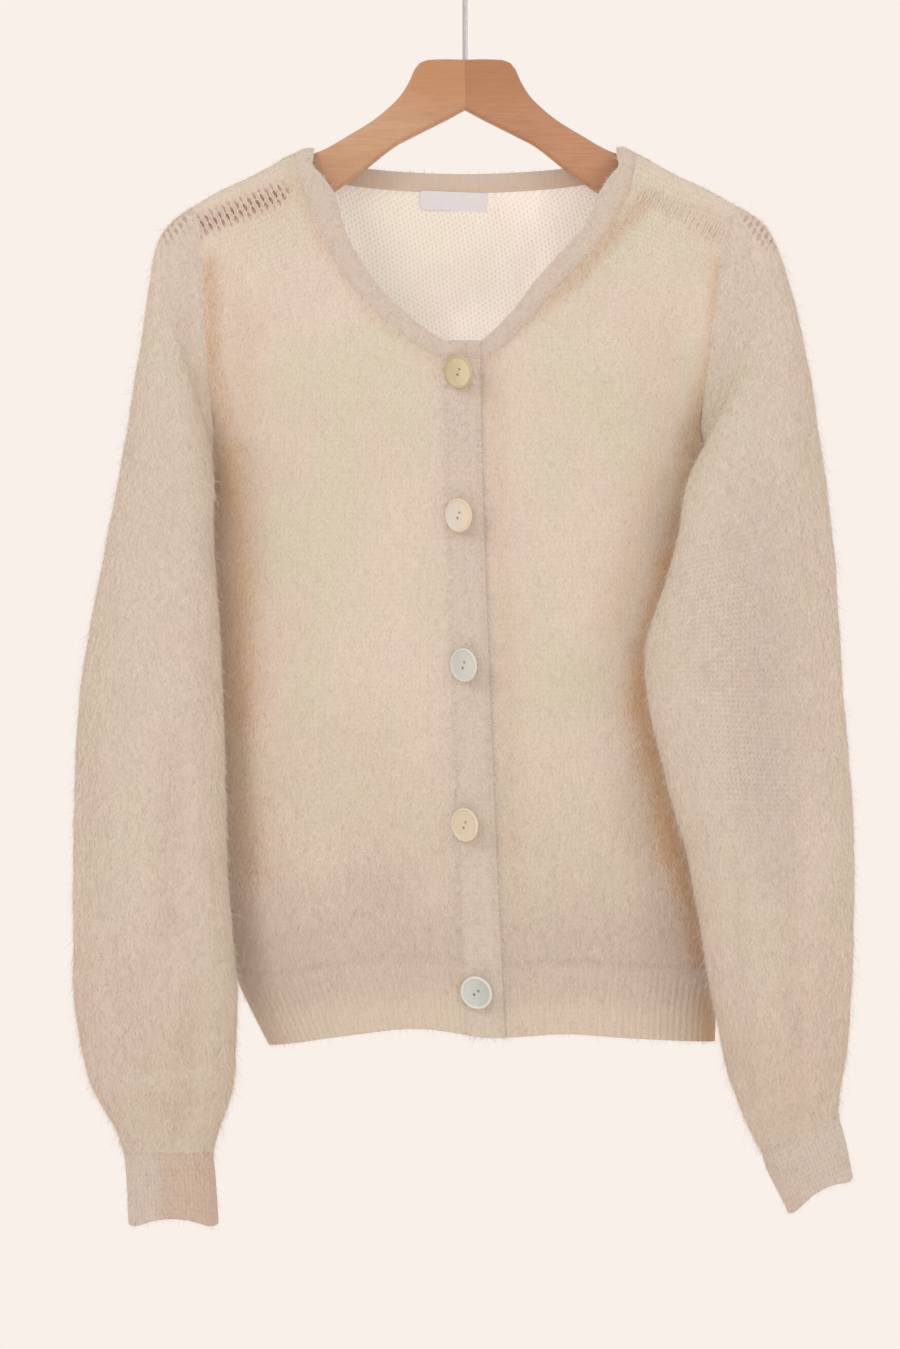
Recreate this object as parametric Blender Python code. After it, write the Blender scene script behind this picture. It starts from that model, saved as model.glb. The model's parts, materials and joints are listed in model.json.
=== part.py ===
"""Button cardigan in brushed mohair, hanging on a contoured wooden hanger.

Lengths in this file are millimetres until a mesh is made, when they become metres.
+Z is up and the front of the garment faces -Y. "Right" and "left" are the
wearer's, so the right side lies at -X. The origin is the inner crown of the
hanger's hook, the point that rests on a rail.

All the cloth is one surface through tables of sizes: each panel is a grid on
that surface, and neighbouring panels share the points and the normals of their
seam, so that their walls meet all along it with the same small gap.
"""

import math

import bpy
import bmesh
from mathutils import Matrix, Vector

MM = 0.001

# Cloth
WALL = 2.5                  # thickness of the knitted wall
SEAM_GAP = 0.3              # between two pieces along a seam
FACE = 2.0                  # from the outside of the pile in to the middle of the wall
RIB_HEIGHT = 1.1            # how far a rib stands up from the wall
RIB_PITCH = 5.0             # from one hem rib to the next
RIB_DEPTH = 50.0            # height of the hem ribbing
BAND_LAP = WALL + 0.8       # the button band lies this far behind the buttonhole band
LAP_START = 5.0             # the left front stays back for this far past the band
LAP_EASE = 30.0             # width over which it then comes forward again
NECKBAND_WALL = 2.0
NECKBAND_WIDTH = 15.0
NECKBAND_WIDTH_BACK = 12.5
NECKBAND_FOOT_WIDTH = 11.5
NECKBAND_RISE = 1.0         # of its free edge over the shoulder, above the wooden arm

# Body
UNDERARM = -365.0           # height of the foot of the armhole
ARMHOLE_SPREAD = 26.0       # how far the chest would reach past the armhole seam
ARMHOLE_ROUND = 80.0        # height over which the foot of the armhole rounds in
SHOULDER_ROUND = 15.0       # radius of the cloth over the hanger's arm
SHOULDER_BLEND = 150.0      # drop below the ridge at which the body has its own depth
NECK_FOOT = -287.0          # where the neckband's seam meets the bands
NECK_CORNER = 113.0         # the neckband's seam crosses the shoulder ridge here
BODY_POWER = 2.6            # squareness of a level section through the body
BODY_ROUND = 0.45

# Buttons
BUTTON_RADIUS = 11.1
BUTTON_THICK = 2.6
BUTTON_EDGE = 1.5           # height of the rim's widest line above the domed back
BUTTON_RIM = 1.7            # width of the raised rim
BUTTON_DISH = 0.7           # depth of the dished face inside the rim
BUTTON_HOLE = 0.95          # radius of a thread hole
BUTTON_HOLE_OFFSET = 2.0    # of each hole from the middle

# Neck label
LABEL_RIGHT = -29.5
LABEL_LEFT = 14.5
LABEL_TOP = -174.2
LABEL_BOTTOM = -186.7
LABEL_TILT = 0.9            # how much higher its left end is
LABEL_WALL = 0.5

# Hanger
WIRE = 3.3                  # diameter of the hook's wire
HOOK_RADIUS = 20.0          # inside radius of the hook
HOOK_TIP = 205.0            # angle of the wire's tip round the hook, in degrees
HOOK_LEAN = -28.0           # angle at which the wire leaves the round of the hook
SHANK_TOP = -50.0           # from here down the wire is straight
HEAD_TOP = -88.0            # top of the wooden head
BORE_DEPTH = 14.0           # depth of the hook's hole in the head
HALF_GAP = 0.15             # from the middle plane to each half of the hanger


def table(columns, *rows):
    """A small table: the column names in one string, and one tuple for each row."""
    names = columns.split()
    return {name: [row[index] for row in rows] for index, name in enumerate(names)}


# Distance from the middle, height of the ridge over the shoulder, its y, and
# how far down the front the shoulder seam lies.
SHOULDER = table(
    "across height y seam_drop",
    (0, -146.0, 0.0, 18.0),
    (60, -146.5, 0.0, 18.0),
    (113, -151.5, -2.0, 18.0),
    (132, -162.5, -3.5, 17.0),
    (160, -176.0, -7.0, 13.0),
    (182, -189.0, -10.0, 10.0),
    (210, -206.0, -13.0, 9.0),
)

# A level section of the body: the x of its right and left edge, the y of its
# side seams, and the y of its middle in front and behind. Above the underarm
# the edges are the armhole seams.
BODY = table(
    "height right left seam_y front_y back_y",
    (-187, -180.0, 178.0, 0.0, -32.0, 22.0),
    (-202, -174.0, 171.0, 1.0, -34.0, 24.0),
    (-250, -171.5, 164.5, 4.0, -37.0, 27.0),
    (-300, -168.5, 158.0, 7.0, -39.0, 29.0),
    (-335, -165.0, 155.0, 8.5, -40.0, 30.0),
    (-365, -168.0, 168.0, 10.0, -41.0, 31.0),
    (-450, -170.0, 172.0, 11.0, -41.0, 32.0),
    (-540, -170.0, 173.0, 11.0, -40.0, 31.0),
    (-640, -164.0, 172.0, 10.0, -37.0, 29.0),
    (-681, -155.0, 170.0, 8.0, -35.0, 27.0),
    (-715, -140.0, 165.0, 7.0, -33.0, 25.0),
    (-742, -126.0, 163.5, 6.0, -32.0, 24.0),
)

# The neckband's seam down each front, and the same seam round the back neck.
NECK_RIGHT = table(
    "height x",
    (-151, -113.0), (-170, -108.0), (-200, -96.0), (-225, -84.0),
    (-245, -70.0), (-263, -51.0), (-278, -31.0), (-287, -13.0),
)
NECK_LEFT = table(
    "height x",
    (-151, 113.0), (-170, 106.5), (-195, 96.0), (-225, 77.0),
    (-253, 53.5), (-277, 31.0), (-287, 10.0),
)
NECK_BACK = table(
    "across height",
    (0, -175.0), (28, -174.3), (55, -172.5), (78, -169.7), (96, -165.6),
    (104.5, -161.0), (109.5, -156.4), (113, -151.5),
)

# Edges of the buttonhole band, and the height of the hem along its bottom edge.
BAND = table(
    "height right left",
    (-287, -13.0, 10.0), (-330, -12.0, 10.5), (-445, -8.5, 14.0),
    (-600, -4.0, 20.0), (-740, 1.5, 26.5),
)
HEM = table(
    "x height",
    (-170, -739.5), (-126, -737.5), (-80, -731.0), (-32, -726.0), (22, -732.0),
    (65, -729.5), (108, -732.5), (165, -736.0), (180, -736.5),
)

# Soft folds as seen from the front: the line of each one, its width, and how
# far it stands out (or, below nought, lies in).
FOLDS = {
    "front": table(
        "x0 z0 x1 z1 width depth",
        (-62, -262, -128, -196, 20.0, -3.0),
        (58, -268, 108, -196, 18.0, -3.5),
        (118, -232, 88, -300, 26.0, 2.5),
        (92, -476, 30, -440, 22.0, 2.0),
        (96, -505, 40, -560, 24.0, -2.0),
        (-120, -560, -95, -690, 24.0, 2.0),
        (-60, -600, -50, -690, 26.0, -2.0),
        (80, -600, 92, -690, 26.0, 2.0),
        (120, -590, 132, -690, 20.0, -2.0),
    ),
    "back": table(
        "x0 z0 x1 z1 width depth",
        (-128, -330, -60, -400, 26.0, -2.5),
        (128, -330, 66, -410, 26.0, -2.5),
        (-100, -560, -112, -690, 24.0, 2.0),
        (-30, -590, -24, -690, 28.0, -2.0),
        (60, -560, 78, -690, 24.0, 2.0),
    ),
    "sleeve_right": table(
        "x0 z0 x1 z1 width depth",
        (-186, -560, -192, -680, 9.0, -3.5),
        (-214, -600, -206, -742, 10.0, 2.5),
        (-232, -640, -222, -762, 9.0, -3.0),
        (-176, -700, -184, -790, 8.0, -2.5),
        (-212, -742, -202, -800, 8.0, -2.5),
    ),
    "sleeve_left": table(
        "x0 z0 x1 z1 width depth",
        (196, -262, 176, -420, 12.0, -3.0),
        (140, -488, 205, -462, 12.0, 3.0),
        (136, -520, 198, -556, 13.0, -3.0),
        (214, -610, 214, -760, 10.0, -3.0),
        (186, -640, 196, -772, 9.0, 2.5),
        (236, -700, 232, -780, 8.0, -2.5),
    ),
}

# Sleeves: each ring has an outer and an inner point and a depth in front of
# and behind the line between them. Ring 0 is the armhole, and the cuff runs
# from ring 18 to ring 21. The overhang moves the front of a ring inwards.
SLEEVES = {
    "right": table(
        "ring outer_x outer_y outer_z inner_x inner_y inner_z front back overhang",
        (0, -181.0, -9.0, -187.0, -168.0, 10.0, -365.0, 27.0, 24.0, 0.0),
        (1, -196.0, -11.0, -199.0, -171.0, 8.5, -365.0, 28.0, 25.0, 2.0),
        (2, -203.5, -13.0, -214.0, -173.5, 6.0, -366.5, 29.0, 26.0, 5.0),
        (3, -207.0, -15.0, -234.0, -174.8, 2.0, -370.0, 30.5, 27.0, 11.0),
        (4, -210.5, -17.0, -260.0, -174.5, -4.0, -376.0, 31.5, 28.0, 14.0),
        (5, -215.0, -19.0, -290.0, -172.5, -12.0, -386.0, 32.0, 28.5, 14.0),
        (6, -220.5, -21.0, -325.0, -168.0, -22.0, -403.0, 32.0, 29.0, 9.0),
        (8, -236.5, -26.0, -412.0, -160.5, -33.0, -459.0, 32.0, 30.0, 0.0),
        (10, -253.5, -30.0, -515.0, -157.0, -36.0, -535.0, 32.0, 30.0, 0.0),
        (12, -257.5, -32.0, -620.0, -154.5, -37.0, -625.0, 32.0, 30.0, 0.0),
        (14, -256.5, -32.0, -704.0, -148.5, -37.0, -704.0, 30.0, 29.0, 0.0),
        (16, -243.0, -32.0, -768.0, -151.8, -35.0, -768.0, 25.0, 24.0, 0.0),
        (17, -230.0, -32.0, -791.0, -160.5, -34.0, -791.0, 19.0, 19.0, 0.0),
        (18, -224.4, -32.0, -806.0, -164.3, -33.0, -806.0, 16.5, 16.5, 0.0),
        (19, -222.4, -32.0, -821.0, -163.0, -33.0, -821.0, 16.5, 16.5, 0.0),
        (21, -221.0, -32.0, -849.0, -161.0, -33.0, -849.0, 18.0, 18.0, 0.0),
    ),
    "left": table(
        "ring outer_x outer_y outer_z inner_x inner_y inner_z front back overhang",
        (0, 179.0, -9.0, -187.0, 168.0, 10.0, -365.0, 27.0, 24.0, 0.0),
        (1, 196.0, -11.0, -198.0, 171.0, 8.5, -365.0, 29.0, 25.0, 3.0),
        (2, 205.5, -13.0, -214.0, 173.5, 6.0, -366.3, 31.0, 26.0, 6.0),
        (3, 213.0, -15.0, -237.0, 175.0, 2.0, -369.0, 34.0, 26.5, 16.0),
        (4, 220.0, -17.5, -266.0, 174.8, -3.5, -373.5, 37.0, 27.0, 28.0),
        (5, 227.0, -20.0, -300.0, 172.5, -10.5, -380.0, 39.0, 27.0, 36.0),
        (6, 233.5, -22.5, -338.0, 166.0, -20.0, -391.0, 39.0, 26.5, 36.0),
        (7, 238.5, -25.0, -374.0, 151.0, -34.0, -410.0, 37.0, 26.0, 26.0),
        (8, 242.5, -27.0, -415.0, 131.0, -45.0, -441.0, 33.5, 25.5, 12.0),
        (9, 246.0, -29.0, -464.0, 117.0, -51.0, -476.0, 32.0, 25.0, 3.0),
        (10, 249.0, -30.5, -515.0, 118.5, -52.0, -510.0, 31.0, 26.0, 0.0),
        (12, 255.5, -32.0, -612.0, 144.5, -46.0, -614.0, 31.0, 28.0, 0.0),
        (14, 254.5, -33.0, -684.0, 157.0, -42.0, -684.0, 30.0, 28.0, 0.0),
        (16, 248.5, -33.0, -753.0, 172.0, -37.0, -757.0, 26.0, 24.0, 0.0),
        (17, 245.0, -33.0, -771.0, 183.0, -35.0, -786.0, 20.0, 19.0, 0.0),
        (18, 245.0, -33.0, -781.0, 193.0, -34.0, -806.0, 16.5, 16.5, 0.0),
        (19, 247.5, -33.0, -791.0, 196.5, -34.0, -817.0, 16.5, 16.5, 0.0),
        (21, 254.0, -33.0, -818.0, 211.0, -34.0, -842.0, 18.0, 18.0, 0.0),
    ),
}
# The first and last ring of each solid of a sleeve. The real sleeve is one piece:
# shorter solids let the collision shapes follow the tube.
SLEEVE_PARTS = {"upper": (0, 6), "middle": (6, 12), "lower": (12, 18)}
LAST_SLEEVE_RING = 18
LAST_CUFF_RING = 21
CUFF_RIBS = 28
CUFF_WAVE = 5.0             # the cuff's edge dips this far at its two sides

# Buttons from the top: place, tilt about the upright, lean, turn of the holes,
# and how much further out it stands, over the ribs.
BUTTONS = table(
    "x z tilt lean turn lift",
    (-3.3, -296.2, 26.0, 4.0, 60.0, 0.0),
    (-3.3, -390.0, 27.0, 3.0, 62.0, 0.0),
    (0.0, -487.6, 28.0, 3.0, 65.0, 0.0),
    (0.7, -591.9, 28.0, 2.0, 62.0, 0.0),
    (7.9, -701.5, 16.0, 6.0, 38.0, 1.2),
)

# The wooden arm from the middle outwards: top, bottom, y and thickness.
ARM = table(
    "across top bottom y thick",
    (HALF_GAP, -88.3, -121.5, 0.0, 14.0),
    (12, -88.0, -128.0, 0.0, 14.0),
    (24, -88.4, -134.0, 0.0, 14.0),
    (30, -90.6, -137.0, 0.0, 14.0),
    (33.5, -95.0, -138.8, 0.0, 14.0),
    (37, -103.0, -140.6, 0.0, 14.0),
    (43, -112.5, -143.6, 0.0, 14.0),
    (51, -120.5, -149.0, 0.0, 14.0),
    (61, -128.5, -157.0, 0.0, 14.0),
    (76, -137.8, -168.5, -0.5, 14.0),
    (95, -148.5, -181.0, -1.2, 14.0),
    (113, -154.7, -189.0, -2.2, 14.0),
    (135, -166.6, -196.0, -4.0, 14.0),
    (158, -177.8, -203.0, -7.0, 13.0),
    (172, -185.5, -206.5, -9.0, 12.0),
    (179, -190.6, -206.0, -10.0, 9.0),
)

MATERIALS = {
    # base colour, roughness, metallic
    "mohair_knit": ((0.68, 0.55, 0.41), 0.95, 0.0),
    "mohair_rib": ((0.62, 0.49, 0.37), 0.95, 0.0),
    "shell_button": ((0.80, 0.78, 0.66), 0.25, 0.0),
    "label_cloth": ((0.90, 0.90, 0.90), 0.80, 0.0),
    "hanger_wood": ((0.55, 0.29, 0.12), 0.45, 0.0),
    "hook_steel": ((0.62, 0.62, 0.63), 0.25, 1.0),
}


# --- Reading the tables ---------------------------------------------------

def smooth(t):
    """0 below nought, 1 above one, and an even ease between."""
    t = min(max(t, 0.0), 1.0)
    return t * t * (3.0 - 2.0 * t)


def mix(a, b, t):
    return a + (b - a) * t


def slopes(xs, ys):
    """Slopes of a monotone cubic through the points (Fritsch and Carlson)."""
    steps = [(ys[i + 1] - ys[i]) / (xs[i + 1] - xs[i]) for i in range(len(xs) - 1)]
    inner = [0.0 if a * b <= 0 else 2 * a * b / (a + b) for a, b in zip(steps, steps[1:])]
    return [steps[0]] + inner + [steps[-1]]


def read(rows, column, at, key):
    """Value of a column where the key column is at; level beyond the ends."""
    xs, ys = rows[key], rows[column]
    if xs[0] > xs[-1]:
        xs, ys, at = [-x for x in xs], ys, -at
    at = min(max(at, xs[0]), xs[-1])
    place = max(i for i in range(len(xs) - 1) if xs[i] <= at)
    m = slopes(xs, ys)
    width = xs[place + 1] - xs[place]
    t = (at - xs[place]) / width
    return ((2 * t ** 3 - 3 * t ** 2 + 1) * ys[place] + (t ** 3 - 2 * t ** 2 + t) * width * m[place]
            + (3 * t ** 2 - 2 * t ** 3) * ys[place + 1] + (t ** 3 - t ** 2) * width * m[place + 1])


# --- The surface of the cloth ---------------------------------------------

def fold(layer, x, z):
    """How far the folds of one layer move the cloth out at a point."""
    rows = FOLDS[layer]
    out = 0.0
    for x0, z0, x1, z1, width, depth in zip(*rows.values()):
        length = math.hypot(x1 - x0, z1 - z0)
        ax, az = (x1 - x0) / length, (z1 - z0) / length
        along = (x - x0) * ax + (z - z0) * az
        aside = (x - x0) * az - (z - z0) * ax
        past = max(-along, along - length, 0.0)
        taper = math.exp(-(past / (1.5 * width)) ** 2)
        out += depth * taper * math.exp(-(aside / width) ** 2)
    return out


def ridge(x):
    return read(SHOULDER, "height", abs(x), "across")


def edge_x(side, z):
    return read(BODY, "right" if side < 0 else "left", z, "height")


def cloth_y(x, z, face):
    """The y of the body's cloth, in front (face -1) or behind (face 1)."""
    side = -1 if x < 0 else 1
    spread = ARMHOLE_SPREAD * min(max((z - UNDERARM) / ARMHOLE_ROUND, 0.0), 1.0)
    across = min(abs(x) / (abs(edge_x(side, z)) + spread), 1.0)
    bow = (1.0 - across ** BODY_POWER) ** BODY_ROUND
    seam = read(BODY, "seam_y", z, "height")
    far = read(BODY, "front_y" if face < 0 else "back_y", z, "height")
    drop = max(ridge(x) - z, 0.0)
    bend = math.sqrt(1.0 - (1.0 - min(drop / SHOULDER_ROUND, 1.0)) ** 2)
    top = read(SHOULDER, "y", abs(x), "across") + face * SHOULDER_ROUND * bend
    low = seam + (far - seam) * bow
    lift = fold("front" if face < 0 else "back", x, z) * bow * smooth(drop / SHOULDER_BLEND * 3)
    return mix(top, low, smooth(drop / SHOULDER_BLEND)) + face * lift


def lap(x, z):
    """How far the left front is set back to pass under the buttonhole band."""
    past = x - read(BAND, "left", z, "height") - LAP_START
    return BAND_LAP * (1.0 - smooth(past / LAP_EASE))


def body_point(x, z, face, under=False):
    return Vector((x, cloth_y(x, z, face) + (lap(x, z) if under else 0.0), z))


def hem_z(x):
    return read(HEM, "height", x, "x")


def front_height(x, level):
    """Level 0 is the shoulder seam, 1 the underarm and 2 the top of the ribbing."""
    if level <= 1:
        top = ridge(x) - read(SHOULDER, "seam_drop", abs(x), "across")
        return mix(top, UNDERARM, level)
    return mix(UNDERARM, hem_z(x) + RIB_DEPTH, level - 1)


def solve_x(edge, height):
    """The x at which an edge, x for a height, meets a row, height for an x."""
    x = edge(UNDERARM)
    for _ in range(30):
        x = mix(x, edge(height(x)), 0.7)
    return x


def inner_x(side, z):
    """Inner edge of a front: the neckband's seam, then the edge of the band."""
    if z > NECK_FOOT:
        return read(NECK_RIGHT if side < 0 else NECK_LEFT, "x", z, "height")
    return read(BAND, "right" if side < 0 else "left", z, "height")


# --- Sheets: open meshes that become walls --------------------------------

def key_of(point):
    """What tells that two points are one and the same."""
    return tuple(round(c, 3) for c in point)


class Sheet:
    """An open mesh of the middle of the cloth, as points and faces."""

    def __init__(self):
        self.points = []
        self.faces = []
        self.index = {}

    def add(self, point):
        key = key_of(point)
        if key not in self.index:
            self.index[key] = len(self.points)
            self.points.append(Vector(point))
        return self.index[key]

    def grid(self, rows, closed=False, flip=False):
        """Faces between the rows of points; each row may be a closed ring."""
        for upper, lower in zip(rows, rows[1:]):
            count = len(upper)
            for i in range(count if closed else count - 1):
                j = (i + 1) % count
                corners = [self.add(p) for p in (upper[i], upper[j], lower[j], lower[i])]
                ring = [c for k, c in enumerate(corners) if c != corners[k - 1]]
                if len(ring) > 2:
                    self.faces.append(ring[::-1] if flip else ring)
        return self

    def face_sums(self):
        """Sum at each point of its faces' normals, each by its corner's angle."""
        sums = [Vector((0, 0, 0)) for _ in self.points]
        for face in self.faces:
            for k, corner in enumerate(face):
                before = self.points[face[k - 1]] - self.points[corner]
                after = self.points[face[(k + 1) % len(face)]] - self.points[corner]
                sums[corner] += after.cross(before).normalized() * after.angle(before)
        return sums

    def border(self):
        """Directed edges that belong to one face only."""
        edges = set()
        for face in self.faces:
            edges.update((face[k - 1], face[k]) for k in range(len(face)))
        return [(a, b) for a, b in edges if (b, a) not in edges]


def shared_normals(sheets):
    """A normal for each point of each sheet, one and the same along a seam."""
    totals = {}
    for sheet in sheets:
        for point, total in zip(sheet.points, sheet.face_sums()):
            key = key_of(point)
            totals[key] = totals.get(key, Vector((0, 0, 0))) + total
    return [[totals[key_of(p)].normalized() for p in sheet.points] for sheet in sheets]


def drawn_in(sheet):
    """The sheet's points, with its border drawn back by half the seam's gap."""
    edges = sheet.border()
    near = {}
    on_border = {a for a, _ in edges} | {b for _, b in edges}
    for face in sheet.faces:
        middle = sum((sheet.points[c] for c in face), Vector()) / len(face)
        for corner in face:
            if corner in on_border:
                near.setdefault(corner, []).append(middle)
    along = {}
    for a, b in edges:
        run = (sheet.points[b] - sheet.points[a]).normalized()
        along[a] = along.get(a, Vector()) + run
        along[b] = along.get(b, Vector()) + run
    moved = [p.copy() for p in sheet.points]
    for corner, middles in near.items():
        inward = sum(middles, Vector()) / len(middles) - sheet.points[corner]
        run = along[corner]
        if run.length > 1.2:        # not at a sharp corner
            run = run.normalized()
            inward -= run * inward.dot(run)
        moved[corner] += inward.normalized() * (SEAM_GAP / 2 * 1.15)
    return moved


# --- Blender objects ------------------------------------------------------

def material(name):
    made = bpy.data.materials.get(name)
    if made is None:
        colour, roughness, metallic = MATERIALS[name]
        made = bpy.data.materials.new(name)
        made.use_nodes = True
        shader = made.node_tree.nodes["Principled BSDF"]
        shader.inputs["Base Color"].default_value = (*colour, 1.0)
        shader.inputs["Roughness"].default_value = roughness
        shader.inputs["Metallic"].default_value = metallic
        made.diffuse_color = (*colour, 1.0)
    return made


def new_object(name, points, faces, finish):
    mesh = bpy.data.meshes.new(name)
    mesh.from_pydata([tuple(c * MM for c in p) for p in points], [], faces)
    work = bmesh.new()
    work.from_mesh(mesh)
    bmesh.ops.recalc_face_normals(work, faces=work.faces)
    work.to_mesh(mesh)
    work.free()
    mesh.shade_smooth()
    mesh.materials.append(material(finish))
    made = bpy.data.objects.new(name, mesh)
    bpy.context.collection.objects.link(made)
    return made


def wall(name, sheet, normals, finish, thick=WALL):
    """Turn a sheet into a closed wall, half its thickness to either side."""
    middle = drawn_in(sheet)
    outer = [p + n * (thick / 2) for p, n in zip(middle, normals)]
    inner = [p - n * (thick / 2) for p, n in zip(middle, normals)]
    count = len(middle)
    faces = [list(face) for face in sheet.faces]
    faces += [[c + count for c in reversed(face)] for face in sheet.faces]
    for a, b in sheet.border():
        # The same diagonal on both pieces of a seam, so that the rims stay parallel.
        if tuple(sheet.points[a]) < tuple(sheet.points[b]):
            faces += [[b, a, b + count], [a, a + count, b + count]]
        else:
            faces += [[b, a, a + count], [b, a + count, b + count]]
    return new_object(name, outer + inner, faces, finish)


def zip_rows(a, b, closed=False):
    """Triangles between two rows of indices that may differ in count."""
    if closed:
        a, b = a + a[:1], b + b[:1]
    faces, i, j = [], 0, 0
    while i < len(a) - 1 or j < len(b) - 1:
        if j == len(b) - 1 or (i < len(a) - 1
                               and (2 * i + 1) * (len(b) - 1) <= (2 * j + 1) * (len(a) - 1)):
            faces.append([a[i], b[j], a[i + 1]])
            i += 1
        else:
            faces.append([a[i], b[j], b[j + 1]])
            j += 1
    return faces


def row_normals(rows, closed, out):
    """Normals of a grid of points; out tells on which side the outside lies."""
    normals = []
    for r, row in enumerate(rows):
        above, below = rows[max(r - 1, 0)], rows[min(r + 1, len(rows) - 1)]
        line = []
        for c in range(len(row)):
            if closed:
                back, ahead = row[c - 1], row[(c + 1) % len(row)]
            else:
                back, ahead = row[max(c - 1, 0)], row[min(c + 1, len(row) - 1)]
            normal = (ahead - back).cross(below[c] - above[c]).normalized()
            line.append(normal if normal.dot(out(row[c])) > 0 else -normal)
        normals.append(line)
    return normals


def resample(points, normals, count, closed=False):
    """Evenly spaced points on a line of points, and their normals between its own."""
    points, normals = list(points), list(normals)
    if closed:
        points.append(points[0])
        normals.append(normals[0])
    runs = [0.0]
    for a, b in zip(points, points[1:]):
        runs.append(runs[-1] + (b - a).length)
    made, made_normals = [], []
    for i in range(count if closed else count + 1):
        at = min(runs[-1] * i / count, runs[-1] - 1e-6)
        k = max(j for j in range(len(runs) - 1) if runs[j] <= at)
        t = (at - runs[k]) / (runs[k + 1] - runs[k])
        t = 0.0 if t < 1e-5 else 1.0 if t > 1 - 1e-5 else t
        made.append(points[k].lerp(points[k + 1], t))
        made_normals.append(normals[k].lerp(normals[k + 1], t))
    return made, made_normals


def ribbed_wall(name, fine, plain, top_normals, closed, out, axis, end_normals=None):
    """A wall with upright ribs raised on its outside over a plain inside.

    fine and plain are grids of points of the same surface, top row first, with
    two points for each rib in fine. top_normals holds both top rows' normals,
    taken from the panel above. end_normals are those of two open side edges.
    """
    points, skins = [], []
    for rows, known, face in ((fine, top_normals[0], 1), (plain, top_normals[1], -1)):
        normals = row_normals(rows, closed, out)
        normals[0] = known
        skin = []
        for r, (row, line) in enumerate(zip(rows, normals)):
            if end_normals and r > 0:
                line[0] = end_normals[0] or line[0]
                line[-1] = end_normals[1] or line[-1]
            skin.append([])
            for c, (p, n) in enumerate(zip(row, line)):
                rib = RIB_HEIGHT * (c % 2) if face > 0 else 0.0
                if r == 0:
                    p, rib = p - axis * (SEAM_GAP * 0.6), rib * 0.4
                skin[-1].append(len(points))
                points.append(p + n * (face * WALL / 2 + rib))
        skins.append(skin)
    outer, inner = skins
    faces = []
    for rows in skins:
        for upper, lower in zip(rows, rows[1:]):
            faces += zip_rows(upper, lower, closed)
    faces += zip_rows(outer[0], inner[0], closed)
    faces += zip_rows(outer[-1], inner[-1], closed)
    if not closed:
        for end in (0, -1):
            faces += zip_rows([row[end] for row in outer], [row[end] for row in inner])
    return new_object(name, points, faces, "mohair_rib")


# --- Panels ---------------------------------------------------------------

FRONT_COLUMNS = 12
FRONT_SHARES = [1 - (1 - i / FRONT_COLUMNS) ** 1.35 for i in range(FRONT_COLUMNS + 1)]
NECK_ROWS = 6               # rows of a front from the shoulder seam to the foot of the V
CHEST_ROWS = 5              # from there to the underarm
WAIST_ROWS = 9              # from the underarm to the ribbing
RIDGE_ROWS = 3              # of the back, from the ridge over to the shoulder seam
BACK_LEVELS = (0, 0.009, 0.036, 0.085, 0.16, 0.25, 0.34, 0.44, 0.54, 0.64, 0.74, 0.83, 0.91, 0.965, 1)
SHOULDER_SHARES = FRONT_SHARES[::2]     # the back has every other column there


def front_levels(side):
    """Rows of a front, one of them through the foot of the neck."""
    x = inner_x(side, NECK_FOOT)
    top = front_height(x, 0.0)
    foot = (top - NECK_FOOT) / (top - UNDERARM)
    upper = [foot * i / NECK_ROWS for i in range(NECK_ROWS)]
    chest = [mix(foot, 1.0, 1 - (1 - i / CHEST_ROWS) ** 1.5) for i in range(CHEST_ROWS)]
    return upper + chest + [1 + i / WAIST_ROWS for i in range(WAIST_ROWS + 1)]


def front_row(side, height, shares):
    """Points of one row, given as a height for an x, from the middle outwards."""
    start = solve_x(lambda z: inner_x(side, z), height)
    end = solve_x(lambda z: edge_x(side, z), height)
    return [body_point(x, height(x), -1, under=side > 0)
            for x in (mix(start, end, share) for share in shares)]


def front_rows(side):
    return [front_row(side, lambda x, level=level: front_height(x, level), FRONT_SHARES)
            for level in front_levels(side)]


def back_columns():
    """Each column of the back: its share of the half width at the top and lower down."""
    reach = abs(edge_x(-1, -187))
    neck = [x / reach for x in NECK_BACK["across"]]
    half = neck + [mix(neck[-1], 1.0, share) for share in SHOULDER_SHARES[1:]]
    top = [-f for f in half[:0:-1]] + half
    last = len(top) - 1
    even = [math.sin((i / last - 0.5) * math.pi * 0.92) / math.sin(math.pi * 0.46)
            for i in range(last + 1)]
    return list(zip(top, even))


def back_top(x):
    if abs(x) >= NECK_CORNER:
        return ridge(x)
    return read(NECK_BACK, "height", abs(x), "across")


def back_point(column, level):
    """A point of the back: level 0 its top, 1 the underarm, 2 the ribbing."""
    share = mix(*column, smooth(level / 0.8))

    def height(x):
        if level <= 1:
            return mix(back_top(x), UNDERARM, level)
        return mix(UNDERARM, hem_z(x) + RIB_DEPTH, level - 1)

    side = -1 if share < 0 else 1
    x = solve_x(lambda z: abs(share) * edge_x(side, z), height)
    if level == 0:
        x = share * abs(edge_x(-1, -187)) if abs(share) < 0.99 else x
    return body_point(x, height(x), 1)


def ridge_strip(side, back_row):
    """Rows of the back that wrap over the shoulder ridge to the seam in front."""
    count = len(SHOULDER_SHARES)
    rows = [back_row[:count][::-1] if side < 0 else back_row[-count:]]
    for step in range(1, RIDGE_ROWS + 1):
        part = (step / RIDGE_ROWS) ** 1.5

        def height(x, part=part):
            return ridge(x) - part * read(SHOULDER, "seam_drop", abs(x), "across")

        start = solve_x(lambda z: inner_x(side, z), height)
        end = solve_x(lambda z: edge_x(side, z), height)
        xs = [mix(start, end, share) for share in SHOULDER_SHARES]
        rows.append([body_point(x, height(x), -1) for x in xs])
    return rows


def back_rows():
    columns = back_columns()
    levels = list(BACK_LEVELS) + [1 + i / WAIST_ROWS for i in range(1, WAIST_ROWS + 1)]
    return [[back_point(column, level) for column in columns] for level in levels]


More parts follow.
